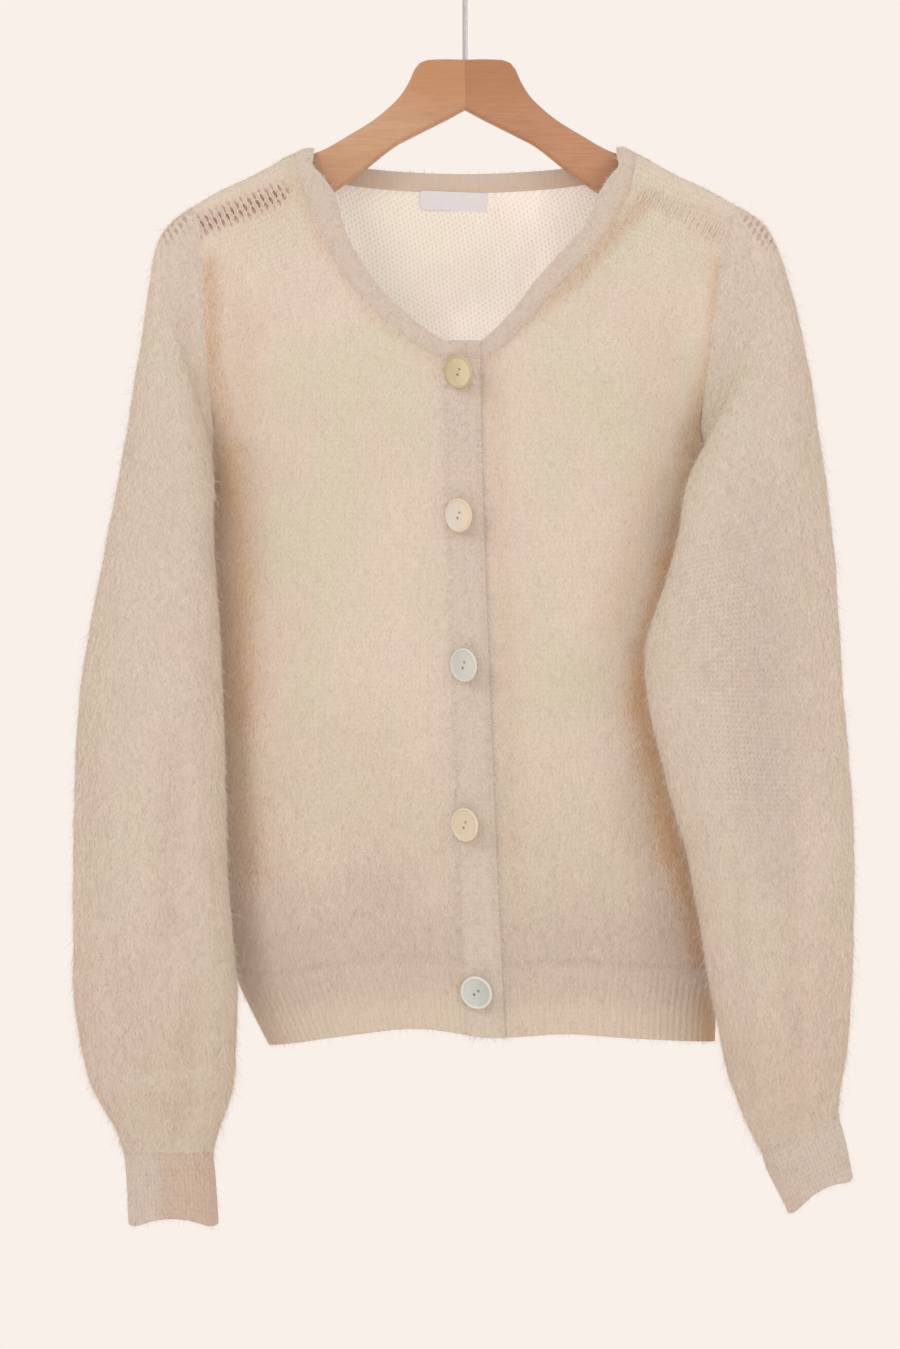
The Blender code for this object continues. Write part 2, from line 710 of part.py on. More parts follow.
def match_shoulder(front, strip):
    """Lay the top row of a front on the last row of the strip it is sewn to."""
    for column, point in enumerate(strip[-1]):
        front[0][2 * column] = point
    for column in range(1, FRONT_COLUMNS, 2):
        front[0][column] = (front[0][column - 1] + front[0][column + 1]) / 2


# --- Sleeves --------------------------------------------------------------

BLEND_RINGS = 5             # over which a sleeve leaves the armhole's exact shape


def sleeve_point(side_name, ring, angle):
    """A point of a sleeve; angle 0 is the outer point and the front is above 0."""
    rows = SLEEVES[side_name]

    def column(name):
        return read(rows, name, ring, "ring")

    outer = Vector([column("outer_" + c) for c in "xyz"])
    inner = Vector([column("inner_" + c) for c in "xyz"])
    half = (outer - inner) / 2
    half *= 1 - FACE / half.length
    c, s = math.cos(angle), math.sin(angle)
    depth = (column("front") if s > 0 else column("back")) - FACE / 2
    point = (outer + inner) / 2 + half * c + Vector((0, -depth * s, 0))
    inward = -1 if side_name == "left" else 1
    point.x += inward * column("overhang") * max(s, 0) * (1 - c) / 1.3
    if s > 0:
        ease = smooth((ring - 1) / 3)
        point.y -= fold("sleeve_" + side_name, point.x, point.z) * s * ease
    return point


def armhole(front, strip, back, side):
    """The armhole loop from the ridge down the front and up the back."""
    over = [row[-1] for row in strip]
    down = [row[-1] for row in front if row[-1].z > UNDERARM - 0.01]
    at = 0 if side < 0 else -1
    up = [row[at] for row in back[:len(BACK_LEVELS)]]
    return over[:-1] + down + up[-2:0:-1], len(over) - 1 + len(down) - 1


def sleeve_rings(side_name, loop, foot):
    """Rings from the armhole loop to the top of the cuff."""
    rows = SLEEVES[side_name]
    top, bottom = loop[0].z, loop[foot].z
    first = []
    for i, p in enumerate(loop):
        c = (p.z - (top + bottom) / 2) / ((top - bottom) / 2)
        angle = math.acos(min(max(c, -1), 1))
        first.append(angle if i <= foot else 2 * math.pi - angle)
    even = [math.pi * i / foot if i <= foot else math.pi * (1 + (i - foot) / (len(loop) - foot))
            for i in range(len(loop))]
    gaps = [p - sleeve_point(side_name, 0, a) for p, a in zip(loop, first)]
    rings = [loop]
    for ring in range(1, LAST_SLEEVE_RING + 1):
        ease = smooth(ring / BLEND_RINGS)
        line = []
        for gap, a, b in zip(gaps, first, even):
            point = sleeve_point(side_name, ring, mix(a, b, ease))
            line.append(point + gap * (1 - ease))
        rings.append(line)
    return rings


def cuff(side_name, ring, ring_normals, axis):
    """Cuff ribbing, from the sleeve's last ring to its wavy edge."""
    grids, tops = [], []
    for count in (CUFF_RIBS * 2, CUFF_RIBS):
        points, normals = resample(ring, ring_normals, count, closed=True)
        rows = [points]
        for level in (19.5, LAST_CUFF_RING):
            row = []
            for i in range(count):
                angle = 2 * math.pi * i / count
                p = sleeve_point(side_name, level, angle)
                if level == LAST_CUFF_RING:
                    p.z -= CUFF_WAVE * math.cos(angle) ** 2
                row.append(p)
            rows.append(row)
        grids.append(rows)
        tops.append(normals)
    middle = sum(ring, Vector()) / len(ring)

    def out(p):
        away = p - middle
        return away - axis * away.dot(axis)

    return ribbed_wall("cuff_" + side_name, *grids, tops, True, out, axis)


# --- Hem ribs -------------------------------------------------------------

def hem_rib(name, face, top, top_normals, edges, under=False):
    """Hem ribbing under the last row of a panel, which runs from right to left.

    edges are the x of its two side edges for a height.
    """
    length = sum((b - a).length for a, b in zip(top, top[1:]))
    grids, tops = [], []
    ribs = round(length / RIB_PITCH)
    for count in (2 * ribs, ribs):
        points, normals = resample(top, top_normals, count)
        rows = [points]
        for depth in (0.5, 1.0):
            row = []
            for p in points:
                share = (p.x - points[0].x) / (points[-1].x - points[0].x)

                def height(x, depth=depth):
                    return hem_z(x) + RIB_DEPTH * (1 - depth)

                x = solve_x(lambda z: mix(edges[0](z), edges[1](z), share), height)
                row.append(body_point(x, height(x), face, under))
            rows.append(row)
        for row in rows:
            for a, b in ((0, 1), (-1, -2)):
                row[a] = row[a] + (row[b] - row[a]).normalized() * (SEAM_GAP * 0.6)
        grids.append(rows)
        tops.append(normals)
    ends = [Vector((math.copysign(1, p.x), 0, 0)) if abs(p.x) > 100 else None
            for p in (top[0], top[-1])]
    return ribbed_wall(name, *grids, tops, False, lambda p: Vector((p.x * 0.02, face * 10, 0)),
                       Vector((0, 0, 1)), ends)


# --- Bands, buttons and label ---------------------------------------------

def band_rows(top, step, columns, under):
    """Rows of a front band from a height down to the hem."""
    middle = (read(BAND, "right", -735, "height") + read(BAND, "left", -735, "height")) / 2
    count = int(round((top - hem_z(middle)) / step))
    rows = []
    for i in range(count + 1):
        row = []
        for c in range(columns + 1):
            def edge(z):
                return mix(read(BAND, "right", z, "height"), read(BAND, "left", z, "height"),
                           c / columns)

            def height(x):
                return mix(top, hem_z(x), i / count)

            x = solve_x(edge, height)
            point = body_point(x, height(x), -1)
            point.y += BAND_LAP if under else 0.0
            row.append(point)
        rows.append(row)
    return rows


def buttonhole_band():
    rows = band_rows(NECK_FOOT - SEAM_GAP * 0.6, 13.0, 4, False)
    sheet = Sheet().grid(rows, flip=True)
    normals = shared_normals([sheet])[0]
    return wall("buttonhole_band", sheet, normals, "mohair_rib")


def button_band():
    rows = band_rows(NECK_FOOT - SEAM_GAP * 0.6, 26.0, 2, True)
    for row in rows:                                    # just inside the upper band's edge
        row[-1] -= (row[-1] - row[-2]).normalized() * SEAM_GAP
    sheet = Sheet().grid(rows, flip=True)
    normals = shared_normals([sheet])[0]
    return wall("button_band", sheet, normals, "mohair_rib")


def button(index):
    """A round shell button with a raised rim, a domed back and two holes."""
    x, z = BUTTONS["x"][index], BUTTONS["z"][index]
    radius, thick = BUTTON_RADIUS, BUTTON_THICK
    profile = (                                         # radius and height, back to front
        (0.0, 0.0), (radius * 0.7, 0.25), (radius, BUTTON_EDGE), (radius - 0.6, thick),
        (radius - BUTTON_RIM, thick - BUTTON_DISH), (0.0, thick - BUTTON_DISH),
    )
    sides = 20
    work = bmesh.new()
    rings = []
    for r, h in profile:
        if r == 0:
            rings.append([work.verts.new((0, 0, h))])
        else:
            rings.append([work.verts.new((r * math.cos(2 * math.pi * i / sides),
                                          r * math.sin(2 * math.pi * i / sides), h))
                          for i in range(sides)])
    for low, high in zip(rings, rings[1:]):
        for i in range(sides):
            j = (i + 1) % sides
            if len(low) == 1:
                work.faces.new((low[0], high[j], high[i]))
            elif len(high) == 1:
                work.faces.new((low[i], low[j], high[0]))
            else:
                work.faces.new((low[i], low[j], high[j], high[i]))
    bmesh.ops.recalc_face_normals(work, faces=work.faces)
    mesh = bpy.data.meshes.new("button_%d" % (index + 1))
    work.to_mesh(mesh)
    work.free()
    mesh.materials.append(material("shell_button"))
    made = bpy.data.objects.new("button_%d" % (index + 1), mesh)
    bpy.context.collection.objects.link(made)
    tilt, lean = math.radians(BUTTONS["tilt"][index]), math.radians(BUTTONS["lean"][index])
    turn = math.radians(BUTTONS["turn"][index])
    # The disc's axis turns to face forward, then its right-hand edge comes forward.
    stand = Matrix.Rotation(math.radians(90), 4, "X")
    aim = Matrix.Rotation(-tilt, 4, "Z") @ Matrix.Rotation(-lean, 4, "X") @ stand
    for sign in (-1, 1):
        bpy.ops.mesh.primitive_cylinder_add(vertices=8, radius=BUTTON_HOLE, depth=4 * thick)
        cutter = bpy.context.object
        cutter.name = "hole_cutter_%d_%d" % (index + 1, (sign + 1) // 2)
        offset = Matrix.Translation((sign * BUTTON_HOLE_OFFSET * math.cos(turn),
                                     sign * BUTTON_HOLE_OFFSET * math.sin(turn), thick / 2))
        cutter.data.transform(offset)
        cutter.hide_render = True
        cutter.display_type = "WIRE"
        cutter.parent = made
        cut = made.modifiers.new("hole", "BOOLEAN")
        cut.object = cutter
        cut.operation = "DIFFERENCE"
        cut.solver = "EXACT"
    reach = radius * math.sin(tilt) - BUTTON_EDGE * math.cos(tilt)
    stand_off = WALL / 2 + SEAM_GAP + reach + radius * math.sin(lean) * 0.5
    stand_off += BUTTONS["lift"][index]
    y = cloth_y(x, z, -1) - stand_off
    made.matrix_world = Matrix.Translation((x * MM, y * MM, z * MM)) @ aim @ Matrix.Scale(MM, 4)
    return made


def neck_line(fronts, strips, back_row):
    """The neck seam from its end on the right front, round to the left one."""
    down = {side: [row[0] for row in fronts[side] if row[0].z > NECK_FOOT - 0.01]
            for side in (-1, 1)}
    over = {side: [row[0] for row in strips[side]] for side in (-1, 1)}
    count = len(SHOULDER_SHARES)
    neck = back_row[count:-count]
    right, left = (read(BAND, side, NECK_FOOT, "height") for side in ("right", "left"))
    upper_end = [body_point(x, NECK_FOOT, -1) for x in (left, mix(right, left, 0.5))]
    lower_end = [body_point(x, NECK_FOOT, -1) + Vector((0, BAND_LAP, 0))
                 for x in (mix(right, left, 0.5), right)]
    return (upper_end + down[-1][::-1] + over[-1][-2::-1] + neck + over[1][:-1] + down[1]
            + lower_end)


def neckband_rows(line, normal_at):
    """Rows across the band from each seam point, a little proud in its middle."""
    rows = []
    for i, seam in enumerate(line):
        ahead, back = line[min(i + 1, len(line) - 1)], line[max(i - 1, 0)]
        normal = normal_at(seam)
        across = normal.cross(ahead - back).normalized()
        if across.dot(Vector((0, seam.y, -130)) - seam) < 0:
            across = -across
        width = mix(NECKBAND_FOOT_WIDTH, NECKBAND_WIDTH, smooth((seam.z - NECK_FOOT) / 60.0))
        width = mix(width, NECKBAND_WIDTH_BACK, smooth(seam.y / 8))
        rise = NECKBAND_RISE * math.exp(-((seam.z - ridge(NECK_CORNER)) / 9.0) ** 2)
        rows.append([seam + across * (share * width) + normal * proud
                     + Vector((0, 0, rise * share))
                     for share, proud in ((0, 0.0), (0.35, 1.0), (0.75, 1.1), (1, 0.0))])
    return rows


def neck_label():
    """A bare woven label inside the back neck, just under the band's seam."""
    off = WALL / 2 + SEAM_GAP + LABEL_WALL / 2
    rows = []
    for i in range(3):
        row = []
        for c in range(7):
            x = mix(LABEL_RIGHT, LABEL_LEFT, c / 6)
            z = mix(LABEL_TOP, LABEL_BOTTOM, i / 2) + LABEL_TILT * (c / 6 - 0.5)
            row.append(Vector((x, cloth_y(x, z, 1) - off, z)))
        rows.append(row)
    sheet = Sheet().grid(rows)
    normals = [Vector((0, -1, 0)) for _ in sheet.points]
    return wall("neck_label", sheet, normals, "label_cloth", thick=LABEL_WALL)


# --- Hanger ---------------------------------------------------------------

def hanger_half(side_name, side):
    """Half of the wooden hanger, through sections along its arm."""
    points, faces = [], []
    count = 12
    stations = len(ARM["across"])
    for k in range(stations):
        x, top, bottom, y, thick = (ARM[c][k] for c in ("across", "top", "bottom", "y", "thick"))
        high, deep = (top - bottom) / 2, thick / 2
        bevel = min(4.2, high * 0.8, deep * 0.8)
        middle = (top + bottom) / 2
        for i in range(count):
            quarter, part = divmod(i, 3)
            angle = math.pi / 2 * quarter + math.pi / 4 * part
            cy = (deep - bevel) * (1 if quarter in (0, 3) else -1)
            cz = (high - bevel) * (1 if quarter in (0, 1) else -1)
            points.append(Vector((side * x, y + cy + bevel * math.cos(angle),
                                  middle + cz + bevel * math.sin(angle))))
    for k in range(stations - 1):
        for i in range(count):
            j = (i + 1) % count
            faces.append([k * count + i, k * count + j, (k + 1) * count + j, (k + 1) * count + i])
    faces.append(list(range(count)))
    faces.append(list(range((stations - 1) * count, stations * count))[::-1])
    made = new_object("hanger_half_" + side_name, points, faces, "hanger_wood")
    made.data.set_sharp_from_angle(angle=math.radians(40))
    bpy.ops.mesh.primitive_cylinder_add(vertices=16, radius=(WIRE / 2 + SEAM_GAP) * MM,
                                        depth=2 * BORE_DEPTH * MM,
                                        location=(0, 0, HEAD_TOP * MM))
    cutter = bpy.context.object
    cutter.name = "bore_cutter_" + side_name
    cutter.hide_render = True
    cutter.display_type = "WIRE"
    cut = made.modifiers.new("bore", "BOOLEAN")
    cut.object = cutter
    cut.operation = "DIFFERENCE"
    cut.solver = "EXACT"
    return made


def hanger_hook():
    """The wire hook: a question mark whose shank goes down into the head."""
    radius = HOOK_RADIUS + WIRE / 2
    centre = Vector((0, 0, -HOOK_RADIUS))
    path = []
    for i in range(19):                                 # from the tip over the crown
        angle = math.radians(mix(HOOK_TIP, HOOK_LEAN, i / 18))
        path.append(centre + Vector((math.cos(angle), 0, math.sin(angle))) * radius)
    shank_top = Vector((0, 0, SHANK_TOP))
    start, lean = path[-1], Vector((math.sin(angle), 0, -math.cos(angle)))
    reach = (start - shank_top).length
    for i in range(1, 9):                               # a smooth bend back to the middle
        t = i / 8
        a, b = start + lean * (reach * 0.45), shank_top + Vector((0, 0, reach * 0.4))
        path.append(start * (1 - t) ** 3 + a * 3 * t * (1 - t) ** 2
                    + b * 3 * t ** 2 * (1 - t) + shank_top * t ** 3)
    bottom = HEAD_TOP - BORE_DEPTH + SEAM_GAP
    path += [Vector((0, 0, mix(shank_top.z, bottom, i / 4))) for i in range(1, 5)]
    curve = bpy.data.curves.new("hanger_hook", "CURVE")
    curve.dimensions = "3D"
    curve.bevel_depth = WIRE / 2 * MM
    curve.bevel_resolution = 2
    curve.use_fill_caps = True
    line = curve.splines.new("POLY")
    line.points.add(len(path) - 1)
    for point, place in zip(line.points, path):
        point.co = (place.x * MM, place.y * MM, place.z * MM, 1.0)
    curve.materials.append(material("hook_steel"))
    made = bpy.data.objects.new("hanger_hook", curve)
    bpy.context.collection.objects.link(made)
    return made


# --- The whole object -----------------------------------------------------

SIDES = {-1: "right", 1: "left"}


def build():
    for old in list(bpy.data.objects):
        bpy.data.objects.remove(old)

    back = back_rows()
    fronts = {side: front_rows(side) for side in SIDES}
    strips = {side: ridge_strip(side, back[0]) for side in SIDES}
    sheets = {}
    rings = {}
    for side, name in SIDES.items():
        match_shoulder(fronts[side], strips[side])
        sheets["front_" + name] = Sheet().grid(fronts[side], flip=side > 0)
        loop, foot = armhole(fronts[side], strips[side], back, side)
        rings[side] = sleeve_rings(name, loop, foot)
        for part, (first, last) in SLEEVE_PARTS.items():
            sheet = Sheet().grid(rings[side][first:last + 1], closed=True, flip=side < 0)
            sheets["sleeve_%s_%s" % (name, part)] = sheet
    sheets["back"] = Sheet().grid(back)
    for side in SIDES:
        sheets["back"].grid(strips[side], flip=side > 0)

    normal_of = {}
    for sheet, normals in zip(sheets.values(), shared_normals(list(sheets.values()))):
        normal_of.update((key_of(p), n) for p, n in zip(sheet.points, normals))
    up = Vector((0, 0, 1))
    axes = {}
    for side in SIDES:
        top, last = rings[side][-3], rings[side][-1]
        axes[side] = (sum(top, Vector()) - sum(last, Vector())).normalized()
        square_to(normal_of, last, axes[side])
        square_to(normal_of, fronts[side][-1], up)
        for column in range(1, FRONT_COLUMNS, 2):       # between the shoulder's own points
            a, b = fronts[side][0][column - 1], fronts[side][0][column + 1]
            middle = (normal_of[key_of(a)] + normal_of[key_of(b)]) / 2
            normal_of[key_of(fronts[side][0][column])] = middle
    square_to(normal_of, back[-1], up)

    for name, sheet in sheets.items():
        wall(name, sheet, [normal_of[key_of(p)] for p in sheet.points], "mohair_knit")

    def known(points):
        return [normal_of[key_of(p)] for p in points]

    for side, name in SIDES.items():
        cuff(name, rings[side][-1], known(rings[side][-1]), axes[side])
    left, right = (lambda z: edge_x(1, z)), (lambda z: edge_x(-1, z))
    front_right, front_left = fronts[-1][-1][::-1], fronts[1][-1]
    hem_rib("hem_rib_back", 1, back[-1], known(back[-1]), (right, left))
    hem_rib("hem_rib_front_right", -1, front_right, known(front_right),
            (right, lambda z: inner_x(-1, z)))
    hem_rib("hem_rib_front_left", -1, front_left, known(front_left),
            (lambda z: inner_x(1, z), left), under=True)

    buttonhole_band()
    button_band()
    for index in range(len(BUTTONS["x"])):
        button(index)
    neck_label()

    front = Vector((0, -1, 0.1)).normalized()
    rows = neckband_rows(neck_line(fronts, strips, back[0]),
                         lambda point: normal_of.get(key_of(point), front))
    band = Sheet().grid(rows)
    normals = [normal_of.get(key_of(p), n) for p, n in zip(band.points, shared_normals([band])[0])]
    wall("neckband", band, normals, "mohair_rib", thick=NECKBAND_WALL)

    for side, name in SIDES.items():
        hanger_half(name, side)
    hanger_hook()


def square_to(normal_of, points, axis):
    """Lay the normals along a ribbing's seam square to the seam's axis."""
    for point in points:
        normal = normal_of[key_of(point)]
        normal_of[key_of(point)] = (normal - axis * normal.dot(axis)).normalized()


if __name__ == "__main__":
    build()
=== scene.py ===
"""The looks of a V-neck cardigan in brushed mohair that hangs on a wooden hanger.

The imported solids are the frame. This script repeats the tables of sizes that they
were made from, lays finer cloth on the same surface, and brushes a pile of single
fibres out of it. Tables are in millimetres and meshes in metres. +Z is up and the
front of the cardigan faces -Y. "Right" and "left" are the wearer's, so the right
side lies at -X.
"""

import functools
import json
import math

import bmesh
import bpy
import numpy as np
from bpy.props import FloatProperty, FloatVectorProperty, IntProperty, PointerProperty
from mathutils import Matrix, Vector
from mathutils.kdtree import KDTree

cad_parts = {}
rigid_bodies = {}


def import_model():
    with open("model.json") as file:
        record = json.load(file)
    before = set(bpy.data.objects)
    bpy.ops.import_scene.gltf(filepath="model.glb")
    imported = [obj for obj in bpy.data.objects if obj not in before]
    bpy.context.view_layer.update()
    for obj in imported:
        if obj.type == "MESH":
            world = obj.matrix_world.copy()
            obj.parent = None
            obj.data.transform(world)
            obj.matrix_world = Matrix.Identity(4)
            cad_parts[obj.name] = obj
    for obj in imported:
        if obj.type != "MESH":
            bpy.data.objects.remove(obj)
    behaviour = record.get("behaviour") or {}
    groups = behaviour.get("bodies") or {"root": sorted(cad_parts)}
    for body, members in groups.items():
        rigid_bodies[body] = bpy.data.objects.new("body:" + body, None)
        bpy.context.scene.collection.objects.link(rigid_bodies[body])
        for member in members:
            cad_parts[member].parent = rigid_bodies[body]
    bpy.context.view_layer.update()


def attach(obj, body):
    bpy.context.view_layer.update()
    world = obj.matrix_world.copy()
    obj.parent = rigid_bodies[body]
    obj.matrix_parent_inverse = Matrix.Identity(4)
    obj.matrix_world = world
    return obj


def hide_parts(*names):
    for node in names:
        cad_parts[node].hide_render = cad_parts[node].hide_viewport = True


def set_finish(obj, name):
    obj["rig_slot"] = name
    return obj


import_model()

bl_info = {
    "name": "Brushed Mohair Cardigan",
    "version": (1, 0, 0),
    "blender": (4, 5, 0),
    "location": "3D View > Sidebar > Cardigan",
    "description": "Knits, brushes and buttons a mohair cardigan on its hanger",
    "category": "Object",
}

MM = 0.001
SIDES = {-1: "right", 1: "left"}

# --- Sizes the cloth shares with its solids ---

WALL = 2.5                  # thickness of the knitted wall
NECKBAND_WALL = 2.0
FACE = 2.0                  # from the outside of the pile in to the middle of the wall
RIB_DEPTH = 50.0            # height of the hem ribbing
BAND_STEP = 13.0            # between the rows of the front bands
BAND_LAP = WALL + 0.8       # the button band lies this far behind the buttonhole band
LAP_START = 5.0             # the left front stays back for this far past the band
LAP_EASE = 30.0             # width over which it then comes forward again
NECKBAND_WIDTH = 15.0
NECKBAND_WIDTH_BACK = 12.5
NECKBAND_FOOT_WIDTH = 11.5
NECKBAND_RISE = -2.5        # of its free edge over the shoulder: it sags there
NECKBAND_ROUND_ARM = 4.5    # broader below the hanger's arm and narrower over its end
BELOW_ARM, OVER_ARM = -181.0, -162.0    # the heights of these two places
ARMHOLE_TOP = -187.0
UNDERARM = -365.0           # height of the foot of the armhole
ARMHOLE_SPREAD = 26.0       # how far the chest would reach past the armhole seam
ARMHOLE_ROUND = 80.0        # height over which the foot of the armhole rounds in
SHOULDER_ROUND = 15.0       # radius of the cloth over the hanger's arm
SHOULDER_BLEND = 150.0      # drop below the ridge at which the body has its own depth
NECK_FOOT = -287.0          # where the neckband's seam meets the bands
NECK_CORNER = 113.0         # the neckband's seam crosses the shoulder ridge here
BODY_POWER = 2.6            # squareness of a level section through the body
BODY_ROUND = 0.45
SEAM_GAP = 0.3

BUTTON_RADIUS = 11.1
BUTTON_THICK = 2.6
BUTTON_EDGE = 1.5           # height of the rim's widest line above the domed back
BUTTON_HOLE = 0.95
BUTTON_HOLE_OFFSET = 2.0

LABEL_RIGHT, LABEL_LEFT = -29.5, 14.5
LABEL_TOP, LABEL_BOTTOM = -174.2, -186.7
LABEL_TILT = -1.8
LABEL_WALL = 0.5
LABEL_CORNER = 1.6
LABEL_COLUMNS = 60

WIRE = 3.3                  # diameter of the hook's wire
HOOK_RADIUS = 20.0
HOOK_TIP, HOOK_LEAN = 205.0, -28.0
SHANK_TOP, HEAD_TOP = -50.0, -88.0
BORE_DEPTH = 14.0


def table(columns, rows):
    """A small table: its column names, and its rows of numbers with a bar between them."""
    cells = [[float(cell) for cell in row.split()] for row in rows.split("|")]
    return {name: [row[index] for row in cells] for index, name in enumerate(columns.split())}


LINE = "x0 z0 x1 z1 width depth"
TINT = "x0 z0 x1 z1 width brown lilac"
RINGS = "ring outer_x outer_y outer_z inner_x inner_y inner_z front back overhang"


SHOULDER = table("across height y seam_drop", """
    0 -146 0 18 | 60 -146.5 0 18 | 113 -151.5 -2 18 | 132 -162.5 -3.5 17 | 160 -176 -7 13 |
    182 -189 -10 10 | 210 -206 -13 9""")
BODY = table("height right left seam_y front_y back_y", """
    -187 -180 178 0 -32 22 | -202 -174 171 1 -34 24 | -250 -171.5 164.5 4 -37 27 |
    -300 -168.5 158 7 -39 29 | -335 -165 155 8.5 -40 30 | -365 -168 168 10 -41 31 |
    -450 -170 172 11 -41 32 | -540 -170 173 11 -40 31 | -640 -164 172 10 -37 29 | -681 -155 170 8 -35 27 |
    -715 -140 165 7 -33 25 | -742 -126 163.5 6 -32 24""")
NECK_RIGHT = table("height x", """
    -151 -113 | -170 -108 | -200 -96 | -225 -84 | -245 -70 | -263 -51 | -278 -31 | -287 -13""")
NECK_LEFT = table("height x", """
    -151 113 | -170 109.5 | -195 99.5 | -225 75.5 | -253 49.5 | -277 27.5 | -287 10""")
NECK_BACK = table("across height", """
    0 -175 | 28 -174.3 | 55 -172.5 | 78 -169.7 | 96 -165.6 | 104.5 -161 | 109.5 -156.4 | 113 -151.5""")
BAND = table("height right left", """
    -287 -13 10 | -330 -12 10.5 | -445 -8.5 14 | -600 -4 20 | -740 1.5 26.5""")
HEM = table("x height", """
    -170 -739.5 | -126 -737.5 | -80 -731 | -32 -726 | 22 -732 | 65 -729.5 | 108 -732.5 | 165 -736 |
    180 -736.5""")
FOLDS = {
    "front": table(LINE, """
        -62 -262 -128 -196 20 -3 | 58 -268 108 -196 18 -3.5 | 118 -232 88 -300 26 2.5 |
        92 -476 30 -440 22 2 | 96 -505 40 -560 24 -2 | -120 -560 -95 -690 24 2 | -60 -600 -50 -690 26 -2 |
        80 -600 92 -690 26 2 | 120 -590 132 -690 20 -2"""),
    "back": table(LINE, """
        -128 -330 -60 -400 26 -2.5 | 128 -330 66 -410 26 -2.5 | -100 -560 -112 -690 24 2 |
        -30 -590 -24 -690 28 -2 | 60 -560 78 -690 24 2"""),
    "sleeve_right": table(LINE, """
        -186 -560 -192 -680 9 -3.5 | -214 -600 -206 -742 10 2.5 | -232 -640 -222 -762 9 -3 |
        -176 -700 -184 -790 8 -2.5 | -212 -742 -202 -800 8 -2.5"""),
    "sleeve_left": table(LINE, """
        196 -262 176 -420 12 -3 | 140 -488 205 -462 12 3 | 136 -520 198 -556 13 -3 |
        214 -610 214 -760 10 -3 | 186 -640 196 -772 9 2.5 | 236 -700 232 -780 8 -2.5"""),
}
SLEEVES = {
    "right": table(RINGS, """
        0 -181 -9 -187 -168 10 -365 27 24 0 | 1 -196 -11 -199 -171 8.5 -365 28 25 2 |
        2 -203.5 -13 -214 -173.5 6 -366.5 29 26 5 | 3 -207 -15 -234 -174.8 2 -370 30.5 27 11 |
        4 -210.5 -17 -260 -174.5 -4 -376 31.5 28 14 | 5 -215 -19 -290 -172.5 -12 -386 32 28.5 14 |
        6 -220.5 -21 -325 -168 -22 -403 32 29 9 | 8 -236.5 -26 -412 -160.5 -33 -459 32 30 0 |
        10 -253.5 -30 -515 -157 -36 -535 32 30 0 | 12 -257.5 -32 -620 -154.5 -37 -625 32 30 0 |
        14 -256.5 -32 -704 -148.5 -37 -704 30 29 0 | 16 -243 -32 -768 -151.8 -35 -768 25 24 0 |
        17 -230 -32 -791 -160.5 -34 -791 19 19 0 | 18 -224.4 -32 -806 -164.3 -33 -806 16.5 16.5 0 |
        19 -222.4 -32 -821 -163 -33 -821 16.5 16.5 0 | 21 -221 -32 -849 -161 -33 -849 18 18 0"""),
    "left": table(RINGS, """
        0 179 -9 -187 168 10 -365 27 24 0 | 1 196 -11 -198 171 8.5 -365 29 25 3 |
        2 205.5 -13 -214 173.5 6 -366.3 31 26 6 | 3 213 -15 -237 175 2 -369 34 26.5 16 |
        4 220 -17.5 -266 174.8 -3.5 -373.5 37 27 28 | 5 227 -20 -300 172.5 -10.5 -380 39 27 36 |
        6 233.5 -22.5 -338 166 -20 -391 39 26.5 36 | 7 238.5 -25 -374 151 -34 -410 37 26 26 |
        8 242.5 -27 -415 131 -45 -441 33.5 25.5 12 | 9 246 -29 -464 117 -51 -476 32 25 3 |
        10 249 -30.5 -515 118.5 -52 -510 31 26 0 | 12 255.5 -32 -612 144.5 -46 -614 31 28 0 |
        14 254.5 -33 -684 157 -42 -684 30 28 0 | 16 248.5 -33 -753 172 -37 -757 26 24 0 |
        17 245 -33 -771 183 -35 -786 20 19 0 | 18 245 -33 -781 193 -34 -806 16.5 16.5 0 |
        19 247.5 -33 -791 196.5 -34 -817 16.5 16.5 0 | 21 254 -33 -818 211 -34 -842 18 18 0"""),
}
LAST_SLEEVE_RING, LAST_CUFF_RING = 18, 21
CUFF_WAVE = 8.0             # the cuff's edge dips this far at its two sides
BUTTONS = table("x z tilt lean turn lift", """
    -3.3 -296.2 38 -9 60 -0.8 | -3.3 -390 39 -5 62 -0.8 | 0 -487.6 39 -6 65 -0.8 | 0.7 -591.9 39 -6 62 -1 |
    7.9 -701.5 23 -13 38 0.2""")
ARM = table("across top bottom y thick", """
    0.15 -88.3 -121.5 0 14 | 12 -88 -128 0 14 | 24 -88.4 -134 0 14 | 30 -90.6 -137 0 14 |
    33.5 -95 -138.8 0 14 | 37 -103 -140.6 0 14 | 43 -112.5 -143.6 0 14 | 51 -120.5 -149 0 14 |
    61 -128.5 -157 0 14 | 76 -137.8 -168.5 -0.5 14 | 95 -148.5 -181 -1.2 14 | 113 -154.7 -189 -2.2 14 |
    135 -166.6 -196 -4 14 | 158 -177.8 -203 -7 13 | 172 -185.5 -206.5 -9 12 | 179 -190.6 -206 -10 9""")

# --- Sizes that only the looks have ---

CLOTH_STEP = 3.6            # between the points of a panel
TUCK = 1.8                  # how far a piece of cloth runs on under its neighbour
RIB_STEPS = 6               # points to a rib
SEAM_REACH = 2.4            # points this close across a seam belong together
ROLL = 1.7                  # how far back the bands' free edges and ends roll

